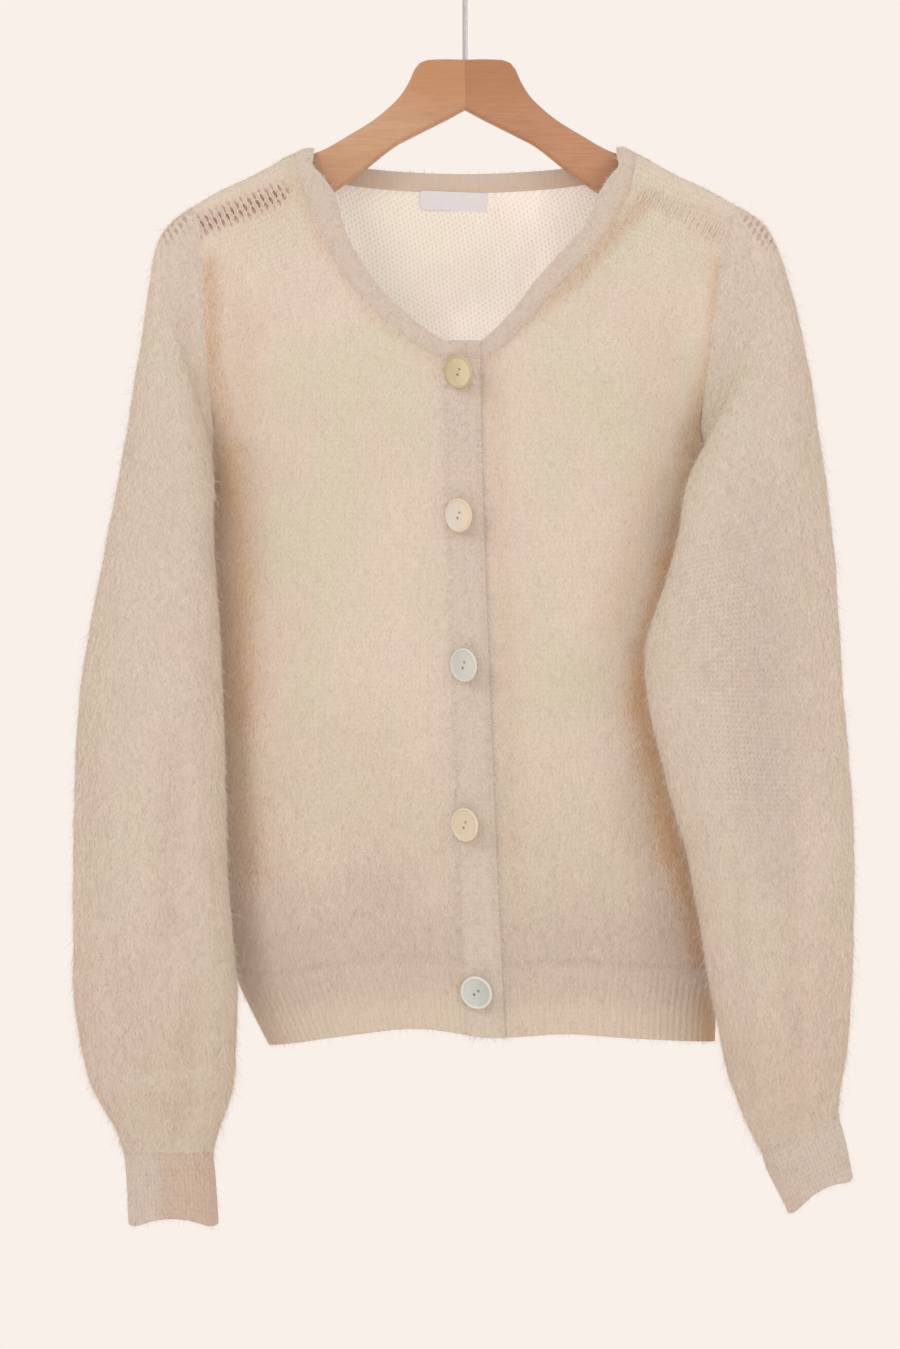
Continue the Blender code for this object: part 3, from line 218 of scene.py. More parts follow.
# Small creases that the solids leave out: the line of each, its width and how far
# it stands out or, below nought, lies in.
CREASES = {
    "front": table(LINE, """
        112 -186 66 -262 7 -1.4 | -104 -196 -66 -256 7 -1.1 | -150 -250 -140 -420 10 -1.2 |
        142 -400 150 -560 9 -1.2 | -138 -520 -130 -680 8 1.1 | -100 -640 -84 -700 7 -0.9 |
        -30 -620 -26 -700 8 0.8 | 54 -610 60 -700 8 -0.8 | 104 -600 112 -700 8 0.9 |
        40 -330 120 -352 9 0.7 | -120 -330 -40 -372 9 -0.7 | -110 -450 -30 -470 8 0.6"""),
    "back": table(LINE, """
        -90 -190 -112 -260 8 -1.2 | 92 -190 112 -262 8 -1.2 | 0 -182 4 -250 9 -0.9 |
        -150 -300 -90 -360 9 1.1 | 150 -300 92 -372 9 1.1 | -140 -480 -128 -660 9 -1.1 |
        -70 -600 -64 -700 8 0.9 | 20 -610 26 -700 8 -0.9 | 112 -560 120 -690 9 1.1 |
        -60 -420 70 -448 10 0.7"""),
    "sleeve_right_front": table(LINE, """
        -196 -250 -190 -420 8 -1.2 | -222 -430 -236 -560 8 1 | -180 -470 -176 -600 7 1 |
        -240 -560 -244 -690 7 -1.2 | -214 -752 -172 -748 4.5 -0.9 | -216 -764 -170 -761 4.5 0.9 |
        -212 -777 -170 -773 4 -0.8 | -196 -700 -200 -748 5 -1"""),
    "sleeve_right_back": table(LINE, """
        -200 -240 -186 -400 9 -1.3 | -236 -470 -214 -560 9 1.2 | -176 -500 -190 -660 9 -1.3 |
        -214 -600 -206 -752 8 1.4 | -236 -620 -226 -760 7 -1.3 | -214 -764 -172 -760 4.5 0.9 |
        -186 -690 -190 -790 6 -1.2"""),
    "sleeve_left_front": table(LINE, """
        206 -300 210 -430 8 1 | 226 -330 236 -520 8 -1.2 | 150 -455 190 -436 8 1 |
        160 -505 210 -500 8 -0.9 | 176 -590 178 -700 7 -1.1 | 200 -640 206 -760 6 0.9 |
        224 -640 226 -772 6 1 | 188 -770 240 -752 4.5 -0.8 | 190 -782 238 -764 4.5 0.8"""),
    "sleeve_left_back": table(LINE, """
        200 -240 190 -400 9 -1.3 | 234 -430 206 -520 9 1.2 | 160 -520 180 -650 9 -1.3 |
        214 -600 212 -756 8 1.4 | 240 -620 236 -750 7 -1.3 | 188 -690 196 -780 6 -1.2"""),
}


# The shoulders' open stitches run along slopes of this cosine and sine, and each
# column's slots lie this share of a row above the last one's.
SLOPE = (0.89, 0.45)
SLOT_STEP = 0.37

# The lines round which the open stitches show, how far from them and how strongly.
OPEN_WIDTH = 11.0
OPEN_STITCHES = ((126, -182, 170, -208, 0.4), (-122, -178, -182, -203, 1.6))

# How shade is painted on the cloth, along lines as seen from the front: each with its width, how strongly
# shade is painted there in a warm dark colour (in the valleys beside the sleeves, the sleeves' troughs,
# beside the bands and along the neck seam), and how lilac the cloth is there; the lilac is partly the
# yarn's greyer tone and partly painted shade.
TONES = {
    "body": table(TINT, """
        -168 -225 -165 -290 12 0.6 0 | -165 -290 -153 -346 16 0.45 0 | -153 -346 -146 -430 22 0.6 0 |
        -146 -430 -147 -520 23 0.62 0 | -147 -520 -140 -620 21 0.38 0 | -140 -620 -134 -735 20 0.15 0 |
        -148 -260 -142 -620 30 0.14 0 | 168 -225 165 -280 12 0.6 0 | 165 -280 150 -346 16 0.5 0 |
        150 -346 136 -418 18 0.55 0 | 136 -418 122 -480 21 0.9 0 | 122 -480 118 -515 24 0.95 0 |
        118 -515 136 -610 22 0.8 0 | 136 -610 146 -640 18 0.7 0 | 146 -640 158 -712 16 0.6 0 |
        122 -360 96 -460 26 0.15 0 | 155 -640 160 -712 15 0.95 0 | 20 -300 24 -440 12 0.16 0.2 |
        24 -440 36 -735 14 0.16 0.2 | -113 -164 -90 -212 12 0.25 0.2 | -90 -212 -50 -264 12 0.25 0.2 |
        -50 -264 -13 -292 12 0.2 0.2 | 117 -184 66 -240 11 0.45 0.5 | 66 -240 34 -266 10 0.38 0.4 |
        34 -266 12 -292 10 0.25 0.1 | -140 -672 165 -672 50 0.1 0.5 | 0 -300 12 -735 40 0 0.35 |
        -60 -640 -60 -690 50 0.08 0.5"""),
    "sleeve": table(TINT, """
        -191 -540 -191 -660 26 0.12 0.5 | -250 -500 -250 -720 22 0.08 0.7 | -176 -700 -190 -790 24 0.1 0.5 |
        210 -640 216 -790 24 0.1 0.4 | 190 -380 200 -620 50 0.08 0.7 | 240 -640 236 -760 20 0.08 0.4"""),
}

# The colours of each button's shell: its left, its right and round its rim. Besides the shell's own colours
# they paint shading across it from one side to the other, and a rim painted lighter on some buttons and
# darker on others.
SHELLS = {
    "left": ((196, 186, 150), (212, 210, 204), (196, 201, 199), (212, 201, 176), (198, 204, 202)),
    "right": ((216, 208, 174), (228, 212, 190), (208, 212, 206), (218, 207, 184), (184, 194, 192)),
    "rim": ((186, 172, 128), (220, 204, 176), (214, 214, 206), (222, 211, 188), (224, 226, 222)),
}
CREAM_BUTTONS = (0, 3)

# Edges at a steeper angle than these are drawn sharp: of metal and thread, of cloth and
# shell, and of wood.
SHARP, SHARP_SHELL, SHARP_WOOD = (math.radians(angle) for angle in (40, 50, 35))


# How strongly light comes through the cloth, its inside and the fibres in its valleys.
GLOW, GLOW_INSIDE, GLOW_FIBRE = 0.14, 0.23, 0.05

ARM_START = 0.03            # the hanger's halves all but touch
ARM_STEP, ARM_BEVEL = 3.0, 4.2
GRAIN_LEAN = 0.55           # of the wood's grain, with the hanger's arms

# The stage, in metres; its floor in millimetres, as all meshes are made.
LIGHTS = {"key": (-1.9, -2.2, 1.1), "fill": (2.2, -1.7, 0.1)}
LIGHTS_AIM = (0.0, 0.0, -0.5)
LIGHT_SIZE = 1.1
CAMERA_PLACE = (-0.0099, -4.0, -0.4939)
FLOOR_RADIUS, FLOOR_HEIGHT = 2500.0, -1500.0


def srgb(red, green, blue):
    """A colour given as 0 to 255 on a screen, as the shaders take it."""
    shares = (c / 255.0 for c in (red, green, blue))
    return tuple(s / 12.92 if s <= 0.04045 else ((s + 0.055) / 1.055) ** 2.4 for s in shares)


# --- Reading the tables ---

def smooth(t):
    """0 below nought, 1 above one, and an even ease between."""
    t = np.clip(t, 0.0, 1.0)
    return t * t * (3.0 - 2.0 * t)


def mix(a, b, t):
    return a + (b - a) * t


def slopes(xs, ys):
    """Slopes of a monotone cubic through the points."""
    steps = [(ys[i + 1] - ys[i]) / (xs[i + 1] - xs[i]) for i in range(len(xs) - 1)]
    inner = [0.0 if a * b <= 0 else 2 * a * b / (a + b) for a, b in zip(steps, steps[1:])]
    return [steps[0]] + inner + [steps[-1]]


def cubic(t, width, a, b, slope_a, slope_b):
    """The curve from a to b, over a width, that leaves and arrives with the given slopes."""
    return ((2 * t ** 3 - 3 * t ** 2 + 1) * a + (t ** 3 - 2 * t ** 2 + t) * width * slope_a
            + (3 * t ** 2 - 2 * t ** 3) * b + (t ** 3 - t ** 2) * width * slope_b)


def read(rows, column, at):
    """Value of a column where the table's first column is at; level beyond the ends."""
    xs, ys = next(iter(rows.values())), rows[column]
    if xs[0] > xs[-1]:
        xs, at = [-x for x in xs], -at
    at = min(max(at, xs[0]), xs[-1])
    i = max(i for i in range(len(xs) - 1) if xs[i] <= at)
    m = slopes(xs, ys)
    width = xs[i + 1] - xs[i]
    return cubic((at - xs[i]) / width, width, ys[i], ys[i + 1], m[i], m[i + 1])


# --- The surface of the cloth ---

def fold(rows, x, z):
    """How far a table of folds moves the cloth out at a point, or at arrays of them."""
    out = 0.0
    for x0, z0, x1, z1, width, depth in zip(*rows.values()):
        length = math.hypot(x1 - x0, z1 - z0)
        ax, az = (x1 - x0) / length, (z1 - z0) / length
        along = (x - x0) * ax + (z - z0) * az
        aside = (x - x0) * az - (z - z0) * ax
        past = np.maximum(np.maximum(-along, along - length), 0.0)
        out = out + depth * np.exp(-(past / (1.5 * width)) ** 2) * np.exp(-(aside / width) ** 2)
    return out


def ridge(x):
    return read(SHOULDER, "height", abs(x))


def edge_x(side, z):
    return read(BODY, SIDES[side], z)


def cloth_y(x, z, face):
    """The y of the body's cloth, in front (face -1) or behind (face 1)."""
    side = -1 if x < 0 else 1
    spread = ARMHOLE_SPREAD * min(max((z - UNDERARM) / ARMHOLE_ROUND, 0.0), 1.0)
    across = min(abs(x) / (abs(edge_x(side, z)) + spread), 1.0)
    bow = (1.0 - across ** BODY_POWER) ** BODY_ROUND
    seam = read(BODY, "seam_y", z)
    far = read(BODY, "front_y" if face < 0 else "back_y", z)
    drop = max(ridge(x) - z, 0.0)
    bend = math.sqrt(1.0 - (1.0 - min(drop / SHOULDER_ROUND, 1.0)) ** 2)
    top = read(SHOULDER, "y", abs(x)) + face * SHOULDER_ROUND * bend
    low = seam + (far - seam) * bow
    layer = FOLDS["front" if face < 0 else "back"]
    lift = fold(layer, x, z) * bow * smooth(drop / SHOULDER_BLEND * 3)
    return mix(top, low, smooth(drop / SHOULDER_BLEND)) + face * lift


def lap(x, z):
    """How far the left front is set back to pass under the buttonhole band."""
    past = x - read(BAND, "left", z) - LAP_START
    return BAND_LAP * (1.0 - smooth(past / LAP_EASE))


def body_point(x, z, face, under=False):
    return Vector((x, cloth_y(x, z, face) + (lap(x, z) if under else 0.0), z))


def hem_z(x):
    return read(HEM, "height", x)


def seam_z(x, part=1.0):
    """The height of the shoulder seam, or of a point part of the way to it from the ridge."""
    return ridge(x) - part * read(SHOULDER, "seam_drop", abs(x))


def level_z(x, level, top):
    """Level 0 is a panel's top, 1 the underarm and 2 the top of the ribbing."""
    if level <= 1:
        return mix(top, UNDERARM, level)
    return mix(UNDERARM, hem_z(x) + RIB_DEPTH, level - 1)


def front_z(x, level):
    return level_z(x, level, seam_z(x))


def solve_x(edge, height):
    """The x at which an edge, x for a height, meets a row, height for an x."""
    x = edge(UNDERARM)
    for _ in range(30):
        x = mix(x, edge(height(x)), 0.7)
    return x


def band_x(z, share):
    """From the right edge of the front bands, 0, to the left one, 1."""
    return mix(read(BAND, "right", z), read(BAND, "left", z), share)


def inner_x(side, z):
    """Inner edge of a front: the neckband's seam, then the edge of the band."""
    if z > NECK_FOOT:
        return read(NECK_RIGHT if side < 0 else NECK_LEFT, "x", z)
    return read(BAND, SIDES[side], z)


# --- The pattern: the rows of points that the solids were made through ---

FRONT_COLUMNS = 12
FRONT_SHARES = [1 - (1 - i / FRONT_COLUMNS) ** 1.35 for i in range(FRONT_COLUMNS + 1)]
NECK_ROWS, CHEST_ROWS, WAIST_ROWS = 6, 5, 9
RIDGE_ROWS = 3
CUFF_ROWS, CUFF_POINTS = 6, 32
HEM_ROWS = 4
BACK_LEVELS = (0, 0.009, 0.036, 0.085, 0.16, 0.25, 0.34, 0.44, 0.54, 0.64, 0.74, 0.83, 0.91, 0.965, 1)
SHOULDER_SHARES = FRONT_SHARES[::2]
BLEND_RINGS = 5             # over which a sleeve leaves the armhole's exact shape


def front_levels(side):
    """Rows of a front, one of them through the foot of the neck."""
    x = inner_x(side, NECK_FOOT)
    top = front_z(x, 0.0)
    foot = (top - NECK_FOOT) / (top - UNDERARM)
    upper = [foot * i / NECK_ROWS for i in range(NECK_ROWS)]
    chest = [mix(foot, 1.0, 1 - (1 - i / CHEST_ROWS) ** 1.5) for i in range(CHEST_ROWS)]
    return upper + chest + [1 + i / WAIST_ROWS for i in range(WAIST_ROWS + 1)]


def row_between(side, height, shares, under=False):
    """Points of a row in front, from the neck's or the band's edge to the outer one."""
    start, end = (solve_x(functools.partial(edge, side), height) for edge in (inner_x, edge_x))
    xs = (mix(start, end, share) for share in shares)
    return [body_point(x, height(x), -1, under) for x in xs]


def front_rows(side):
    return [row_between(side, functools.partial(front_z, level=level), FRONT_SHARES, side > 0)
            for level in front_levels(side)]


def back_columns():
    """Each column of the back: its share of the half width at the top and lower down."""
    reach = abs(edge_x(-1, ARMHOLE_TOP))
    neck = [x / reach for x in NECK_BACK["across"]]
    half = neck + [mix(neck[-1], 1.0, share) for share in SHOULDER_SHARES[1:]]
    top = [-f for f in half[:0:-1]] + half
    last = len(top) - 1
    even = [math.sin((i / last - 0.5) * math.pi * 0.92) / math.sin(math.pi * 0.46)
            for i in range(last + 1)]
    return list(zip(top, even))


def back_top(x):
    if abs(x) >= NECK_CORNER:
        return ridge(x)
    return read(NECK_BACK, "height", abs(x))


def back_point(column, level):
    """A point of the back: level 0 its top, 1 the underarm, 2 the ribbing."""
    share = mix(*column, smooth(level / 0.8))

    def height(x):
        return level_z(x, level, back_top(x))

    side = -1 if share < 0 else 1
    x = solve_x(lambda z: abs(share) * edge_x(side, z), height)
    if level == 0 and abs(share) < 0.99:
        x = share * abs(edge_x(-1, ARMHOLE_TOP))
    return body_point(x, height(x), 1)


def back_rows():
    levels = list(BACK_LEVELS) + [1 + i / WAIST_ROWS for i in range(1, WAIST_ROWS + 1)]
    return [[back_point(column, level) for column in back_columns()] for level in levels]


def ridge_strip(side, back_row):
    """Rows of the back that wrap over the shoulder ridge to the seam in front."""
    count = len(SHOULDER_SHARES)
    rows = [back_row[:count][::-1] if side < 0 else back_row[-count:]]
    for step in range(1, RIDGE_ROWS + 1):
        height = functools.partial(seam_z, part=(step / RIDGE_ROWS) ** 1.5)
        rows.append(row_between(side, height, SHOULDER_SHARES))
    return rows


def match_shoulder(front, strip):
    """Lay the top row of a front on the last row of the strip it is sewn to."""
    for column, point in enumerate(strip[-1]):
        front[0][2 * column] = point
    for column in range(1, FRONT_COLUMNS, 2):
        front[0][column] = (front[0][column - 1] + front[0][column + 1]) / 2


def sleeve_point(side_name, ring, angle):
    """A point of a sleeve; angle 0 is the outer point and the front is above 0."""
    rows = SLEEVES[side_name]

    def column(name):
        return read(rows, name, ring)

    outer = Vector([column("outer_" + c) for c in "xyz"])
    inner = Vector([column("inner_" + c) for c in "xyz"])
    half = (outer - inner) / 2
    half *= 1 - FACE / half.length
    c, s = math.cos(angle), math.sin(angle)
    depth = (column("front") if s > 0 else column("back")) - FACE / 2
    point = (outer + inner) / 2 + half * c + Vector((0, -depth * s, 0))
    inward = -1 if side_name == "left" else 1
    point.x += inward * column("overhang") * max(s, 0) * (1 - c) / 1.3
    if s > 0:
        ease = smooth((ring - 1) / 3)
        point.y -= fold(FOLDS["sleeve_" + side_name], point.x, point.z) * s * ease
    return point


def armhole(front, strip, back, side):
    """The armhole loop from the ridge down the front and up the back."""
    over = [row[-1] for row in strip]
    down = [row[-1] for row in front if row[-1].z > UNDERARM - 0.01]
    at = 0 if side < 0 else -1
    up = [row[at] for row in back[:len(BACK_LEVELS)]]
    return over[:-1] + down + up[-2:0:-1], len(over) - 1 + len(down) - 1


def sleeve_rings(side_name, loop, foot):
    """Rings from the armhole loop to the top of the cuff."""
    top, bottom = loop[0].z, loop[foot].z
    first = []
    for i, p in enumerate(loop):
        c = (p.z - (top + bottom) / 2) / ((top - bottom) / 2)
        angle = math.acos(min(max(c, -1), 1))
        first.append(angle if i <= foot else 2 * math.pi - angle)
    even = [math.pi * i / foot if i <= foot else math.pi * (1 + (i - foot) / (len(loop) - foot))
            for i in range(len(loop))]
    gaps = [p - sleeve_point(side_name, 0, a) for p, a in zip(loop, first)]
    rings = [loop]
    for ring in range(1, LAST_SLEEVE_RING + 1):
        ease = smooth(ring / BLEND_RINGS)
        rings.append([sleeve_point(side_name, ring, mix(a, b, ease)) + gap * (1 - ease)
                      for gap, a, b in zip(gaps, first, even)])
    return rings


def cuff_rings(side_name):
    """Rings of a cuff, from the sleeve's last ring to its wavy edge."""
    rings = []
    for step in range(CUFF_ROWS + 1):
        level = mix(LAST_SLEEVE_RING, LAST_CUFF_RING, step / CUFF_ROWS)
        dip = CUFF_WAVE * max(0.0, (level - 19.5) / 1.5) ** 1.5
        ring = []
        for i in range(CUFF_POINTS):
            angle = 2 * math.pi * i / CUFF_POINTS
            point = sleeve_point(side_name, level, angle)
            aside = math.cos(angle) ** 2
            point.z -= dip * aside * (1.0 - 0.5 * aside ** 5)
            ring.append(point)
        rings.append(ring)
    return rings


def hem_rows(top, face, edges, under=False):
    """Rows of hem ribbing under the last row of a panel, between two side edges."""
    rows = [list(top)]
    for step in range(1, HEM_ROWS + 1):
        def height(x, part=step / HEM_ROWS):
            return hem_z(x) + RIB_DEPTH * (1 - part)

        row = []
        for p in top:
            share = (p.x - top[0].x) / (top[-1].x - top[0].x)
            x = solve_x(lambda z: mix(edges[0](z), edges[1](z), share), height)
            row.append(body_point(x, height(x), face, under))
        rows.append(row)
    return rows


def band_rows(under):
    """Rows of a front band from the foot of the neck down to the hem."""
    top = NECK_FOOT - SEAM_GAP * 0.6
    count = round((top - hem_z(band_x(-735, 0.5))) / BAND_STEP)
    rows = []
    for i in range(count + 1):
        def height(x, part=i / count):
            return mix(top, hem_z(x), part)

        xs = [solve_x(functools.partial(band_x, share=c / 4), height) for c in range(5)]
        rows.append([body_point(x, height(x), -1) for x in xs])
        for point in rows[-1]:
            point.y += BAND_LAP if under else 0.0
    return rows


def neck_line(fronts, strips, back_row):
    """The neck seam from its end on the right front, round to the left one."""
    down = {side: [row[0] for row in fronts[side] if row[0].z > NECK_FOOT - 0.01]
            for side in SIDES}
    over = {side: [row[0] for row in strips[side]] for side in SIDES}
    count = len(SHOULDER_SHARES)
    left, middle, right = (body_point(band_x(NECK_FOOT, share), NECK_FOOT, -1)
                           for share in (1.0, 0.5, 0.0))
    behind = Vector((0, BAND_LAP, 0))
    return ([left, middle] + down[-1][::-1] + over[-1][-2::-1] + back_row[count:-count]
            + over[1][:-1] + down[1] + [middle + behind, right + behind])


def bump(at, middle, width):
    """1 in the middle, and next to nought beyond twice the width from it."""
    return math.exp(-((at - middle) / width) ** 2)


def neckband_rows(line, normal_at):
    """Rows across the band from each seam point, a little proud in its middle."""
    rows = []
    for i, seam in enumerate(line):
        ahead, back = line[min(i + 1, len(line) - 1)], line[max(i - 1, 0)]
        normal = normal_at(seam)
        across = normal.cross(ahead - back).normalized()
        if across.dot(Vector((0, seam.y, -130)) - seam) < 0:
            across = -across
        width = mix(NECKBAND_FOOT_WIDTH, NECKBAND_WIDTH, smooth((seam.z - NECK_FOOT) / 60.0))
        width = mix(width, NECKBAND_WIDTH_BACK, smooth(seam.y / 8))
        round_arm = 1.6 * bump(seam.z, BELOW_ARM, 7.5) - bump(seam.z, OVER_ARM, 7.0)
        width += NECKBAND_ROUND_ARM * round_arm * smooth(-seam.y / 4.0)
        rise = NECKBAND_RISE * bump(seam.z, ridge(NECK_CORNER), 9.0)
        rows.append([seam + across * (share * width) + normal * proud
                     + Vector((0, 0, rise * share))
                     for share, proud in ((0, 0.0), (0.35, 1.0), (0.75, 1.1), (1, 0.0))])
    return rows


# --- Finer cloth through the pattern ---

def finer(points, step, closed=False):
    """A smooth line through points along their first axis, with a point every step."""
    points = np.asarray(points, float)
    if closed:
        points = np.concatenate([points, points[:1]])
    rises = np.diff(points, axis=0)
    gaps = np.linalg.norm(rises, axis=-1).reshape(len(rises), -1).mean(axis=1)
    shape = (-1,) + (1,) * (points.ndim - 1)
    wide = gaps.reshape(shape)
    speeds = rises / wide
    inner = (speeds[:-1] * wide[1:] + speeds[1:] * wide[:-1]) / (wide[:-1] + wide[1:])
    if closed:
        turn = (speeds[-1:] * wide[:1] + speeds[:1] * wide[-1:]) / (wide[:1] + wide[-1:])
        tangents = np.concatenate([turn, inner, turn])
    else:
        tangents = np.concatenate([2 * speeds[:1] - inner[:1], inner, 2 * speeds[-1:] - inner[-1:]])
    made = []
    for i, gap in enumerate(gaps):
        count = max(1, round(gap / step))
        t = (np.arange(count) / count).reshape(shape)
        made.append(cubic(t, gap, points[i], points[i + 1], tangents[i], tangents[i + 1]))
    if not closed:
        made.append(points[-1:])
    return np.concatenate(made)


class Cloth:
    """A grid of points through the middle of a knitted wall, and its outward normals."""

    def __init__(self, rows, step=CLOTH_STEP, across=None, closed=False, flip=False, thick=WALL):
        down = finer(rows, step)
        self.points = finer(down.swapaxes(0, 1), across or step, closed).swapaxes(0, 1)
        self.closed, self.flip, self.thick = closed, flip, thick
        self.taper = np.ones(self.points.shape[:2])
        self.measure()

    def measure(self):
        """Normals, and each point's place on the knit: across and up, in millimetres."""
        p = self.points
        if self.closed:
            ahead, back = np.roll(p, -1, axis=1), np.roll(p, 1, axis=1)
        else:
            ahead = np.concatenate([p[:, 1:], p[:, -1:]], axis=1)
            back = np.concatenate([p[:, :1], p[:, :-1]], axis=1)
        below = np.concatenate([p[1:], p[-1:]])
        above = np.concatenate([p[:1], p[:-1]])
        n = np.cross(ahead - back, below - above) * (-1.0 if self.flip else 1.0)
        self.normals = n / np.linalg.norm(n, axis=-1, keepdims=True)
        ring = np.concatenate([p, p[:, :1]], axis=1) if self.closed else p
        across = np.linalg.norm(np.diff(ring, axis=1), axis=-1)
        across = np.concatenate([np.zeros((len(p), 1)), np.cumsum(across, axis=1)], axis=1)
        if self.closed:
            across = across / across[:, -1:] * across[:, -1].mean()
        else:
            across = across + p[:, :1, 0] * np.sign(p[:, -1:, 0] - p[:, :1, 0])
        up = np.linalg.norm(np.diff(p, axis=0), axis=-1).mean(axis=1)
        up = p[0, :, 2].mean() - np.concatenate([[0.0], np.cumsum(up)])
        self.knit = np.stack([across, np.repeat(up[:, None], across.shape[1], axis=1)], axis=-1)

    def border(self):
        """Row and column of each point on an open edge."""
        rows, columns = self.points.shape[:2]
        found = [(r, c) for r in (0, rows - 1) for c in range(columns)]
        if not self.closed:
            found += [(r, c) for r in range(1, rows - 1) for c in (0, columns - 1)]
        return found

    def skins(self):
        """The points of the outer skin, and then those of the inner one."""
        half = self.normals * (self.thick / 2 * self.taper)[..., None]
        return np.concatenate([(self.points + half).reshape(-1, 3),
                               (self.points - half).reshape(-1, 3)])

    def faces(self):
        """Corners of the closed wall: outer skin, inner skin, then the rim round its edges."""
        rows, columns = self.points.shape[:2]
        index = np.arange(rows * columns).reshape(rows, columns)
        ahead = np.roll(index, -1, axis=1) if self.closed else index[:, 1:]
        here = index if self.closed else index[:, :-1]
        skin = np.stack([here[:-1], ahead[:-1], ahead[1:], here[1:]], axis=-1).reshape(-1, 4)
        inner = skin[:, ::-1] + index.size
        edges = [(here[0], ahead[0]), (ahead[-1], here[-1])]
        if not self.closed:
            edges += [(index[1:, 0], index[:-1, 0]), (index[:-1, -1], index[1:, -1])]
        rim = np.concatenate([np.stack([b, a, a + index.size, b + index.size], axis=-1)
                              for a, b in edges])
        faces = np.concatenate([skin, inner, rim])
        return (faces[:, ::-1] if self.flip else faces), len(skin)

    def corners(self, faces):
        """The place on the knit of each face's corners, unbroken where a tube closes."""
        rows, columns = self.points.shape[:2]
        spot = faces % (rows * columns)
        r, c = spot // columns, spot % columns
        if self.closed:
            wraps = (c.max(axis=1) - c.min(axis=1)) > columns / 2
            c = np.where(wraps[:, None] & (c == 0), columns, c)
        return self.knit[r, c].reshape(-1, 2)

    def inset(self, width):
        """0 at an open edge, and 1 from width further in."""
        rows, columns = self.points.shape[:2]
        r = np.minimum(np.arange(rows), np.arange(rows)[::-1])[:, None] * CLOTH_STEP
        c = np.minimum(np.arange(columns), np.arange(columns)[::-1])[None, :] * CLOTH_STEP
        return smooth(r / width) * (1.0 if self.closed else smooth(c / width))

    def tuck(self, edge):
        """Carry a thinner wall on past an edge, inside its neighbour along the seam."""
        first, columns = edge in ("top", "first"), edge in ("first", "last")
        for name in ("points", "normals", "knit", "taper"):
            grid = getattr(self, name)
            grid = grid.swapaxes(0, 1) if columns else grid
            end, before = (grid[0], grid[1]) if first else (grid[-1], grid[-2])
            if name == "points":
                away = (end - before) / np.linalg.norm(end - before, axis=-1, keepdims=True)
                extra = end + away * TUCK
            else:
                extra = {"normals": end, "knit": 2 * end - before, "taper": 0.45 * end}[name]
            parts = [extra[None], grid] if first else [grid, extra[None]]
            grid = np.concatenate(parts)
            setattr(self, name, grid.swapaxes(0, 1) if columns else grid)

    def push(self, distance, fixed):
        """Move the cloth out along its normals, which stay as they are at the fixed points."""
        kept = self.normals.copy()
        self.points = self.points + self.normals * distance[..., None]
        self.measure()
        for r, c in fixed:
            self.normals[r, c] = kept[r, c]

    def ribs(self, count, height, ease):
        """Raise upright ribs, from nothing at the top row over the first rows."""
        columns = self.points.shape[1] - (0 if self.closed else 1)
        share = np.arange(self.points.shape[1]) / columns
        wave = 0.5 - 0.5 * np.cos(2 * math.pi * count * share)
        rows = np.linspace(0.0, 1.0, len(self.points))
        strength = smooth(rows / ease)
        self.push(height * (wave - 0.2) * strength[:, None], fixed=[(0, slice(None))])


def border_tree(cloths):
    """A search tree of the points on open edges, and the cloth, row and column of each."""
    entries = [(cloth, r, c) for cloth in cloths for r, c in cloth.border()]
    tree = KDTree(len(entries))
    for i, (cloth, r, c) in enumerate(entries):
        tree.insert(cloth.points[r, c], i)
    tree.balance()
    return tree, entries


def join_borders(cloths):
    """Give the walls that meet along a seam the same normals there."""
    tree, entries = border_tree(cloths)
    normals = [Vector(cloth.normals[r, c]) for cloth, r, c in entries]
    for cloth, r, c in entries:
        near = tree.find_range(cloth.points[r, c], SEAM_REACH)
        total = sum((normals[i] for _, i, _ in near), Vector())
        if total.length > 0.3:
            cloth.normals[r, c] = total.normalized()


def nearest_normal(cloths):
    """A function that reads the cloth's normal at a point of a seam."""
    tree, entries = border_tree(cloths)
    front = Vector((0, -1, 0.1)).normalized()

    def normal_at(point):
        _, i, distance = tree.find(point)
        cloth, r, c = entries[i]
        return Vector(cloth.normals[r, c]) if distance < SEAM_REACH else front

    return normal_at


def square(cloth, row, axis):
    """Lay the normals of a row square to an axis, as where ribbing begins."""
    n = cloth.normals[row]
    n = n - (n @ axis)[:, None] * axis
    cloth.normals[row] = n / np.linalg.norm(n, axis=-1, keepdims=True)


def coordinates(cloth):
    """The x, y and z of a cloth's points, each as a grid."""
    return np.moveaxis(cloth.points, -1, 0)


def crease(cloth, front, back):
    """Put small creases in, and a slight unevenness, away from the seams."""
    x, y, z = coordinates(cloth)
    facing = smooth((-cloth.normals[..., 1] + 0.3) / 0.6)
    out = fold(CREASES[front], x, z) * facing + fold(CREASES[back], x, z) * (1.0 - facing)
    lumps = (np.sin(x / 11.0 + z / 23.0 + 1.3) * np.sin(z / 13.0 - x / 31.0 + 0.4)
             + 0.6 * np.sin(x / 6.1 - z / 9.0 + y / 17.0) * np.sin(z / 7.3 + x / 15.0))
    cloth.push((out + 0.35 * lumps) * cloth.inset(16.0), fixed=cloth.border())


# The edges at which each grid of a piece runs on under its neighbour, where it isn't the top.
TUCKS = {
    "back": ((), ("top",), ("top",)), "front_right": (("top", "first"),),
    "front_left": (("top", "first"),), "button_band": ((),), "neckband": (("first",),),
}


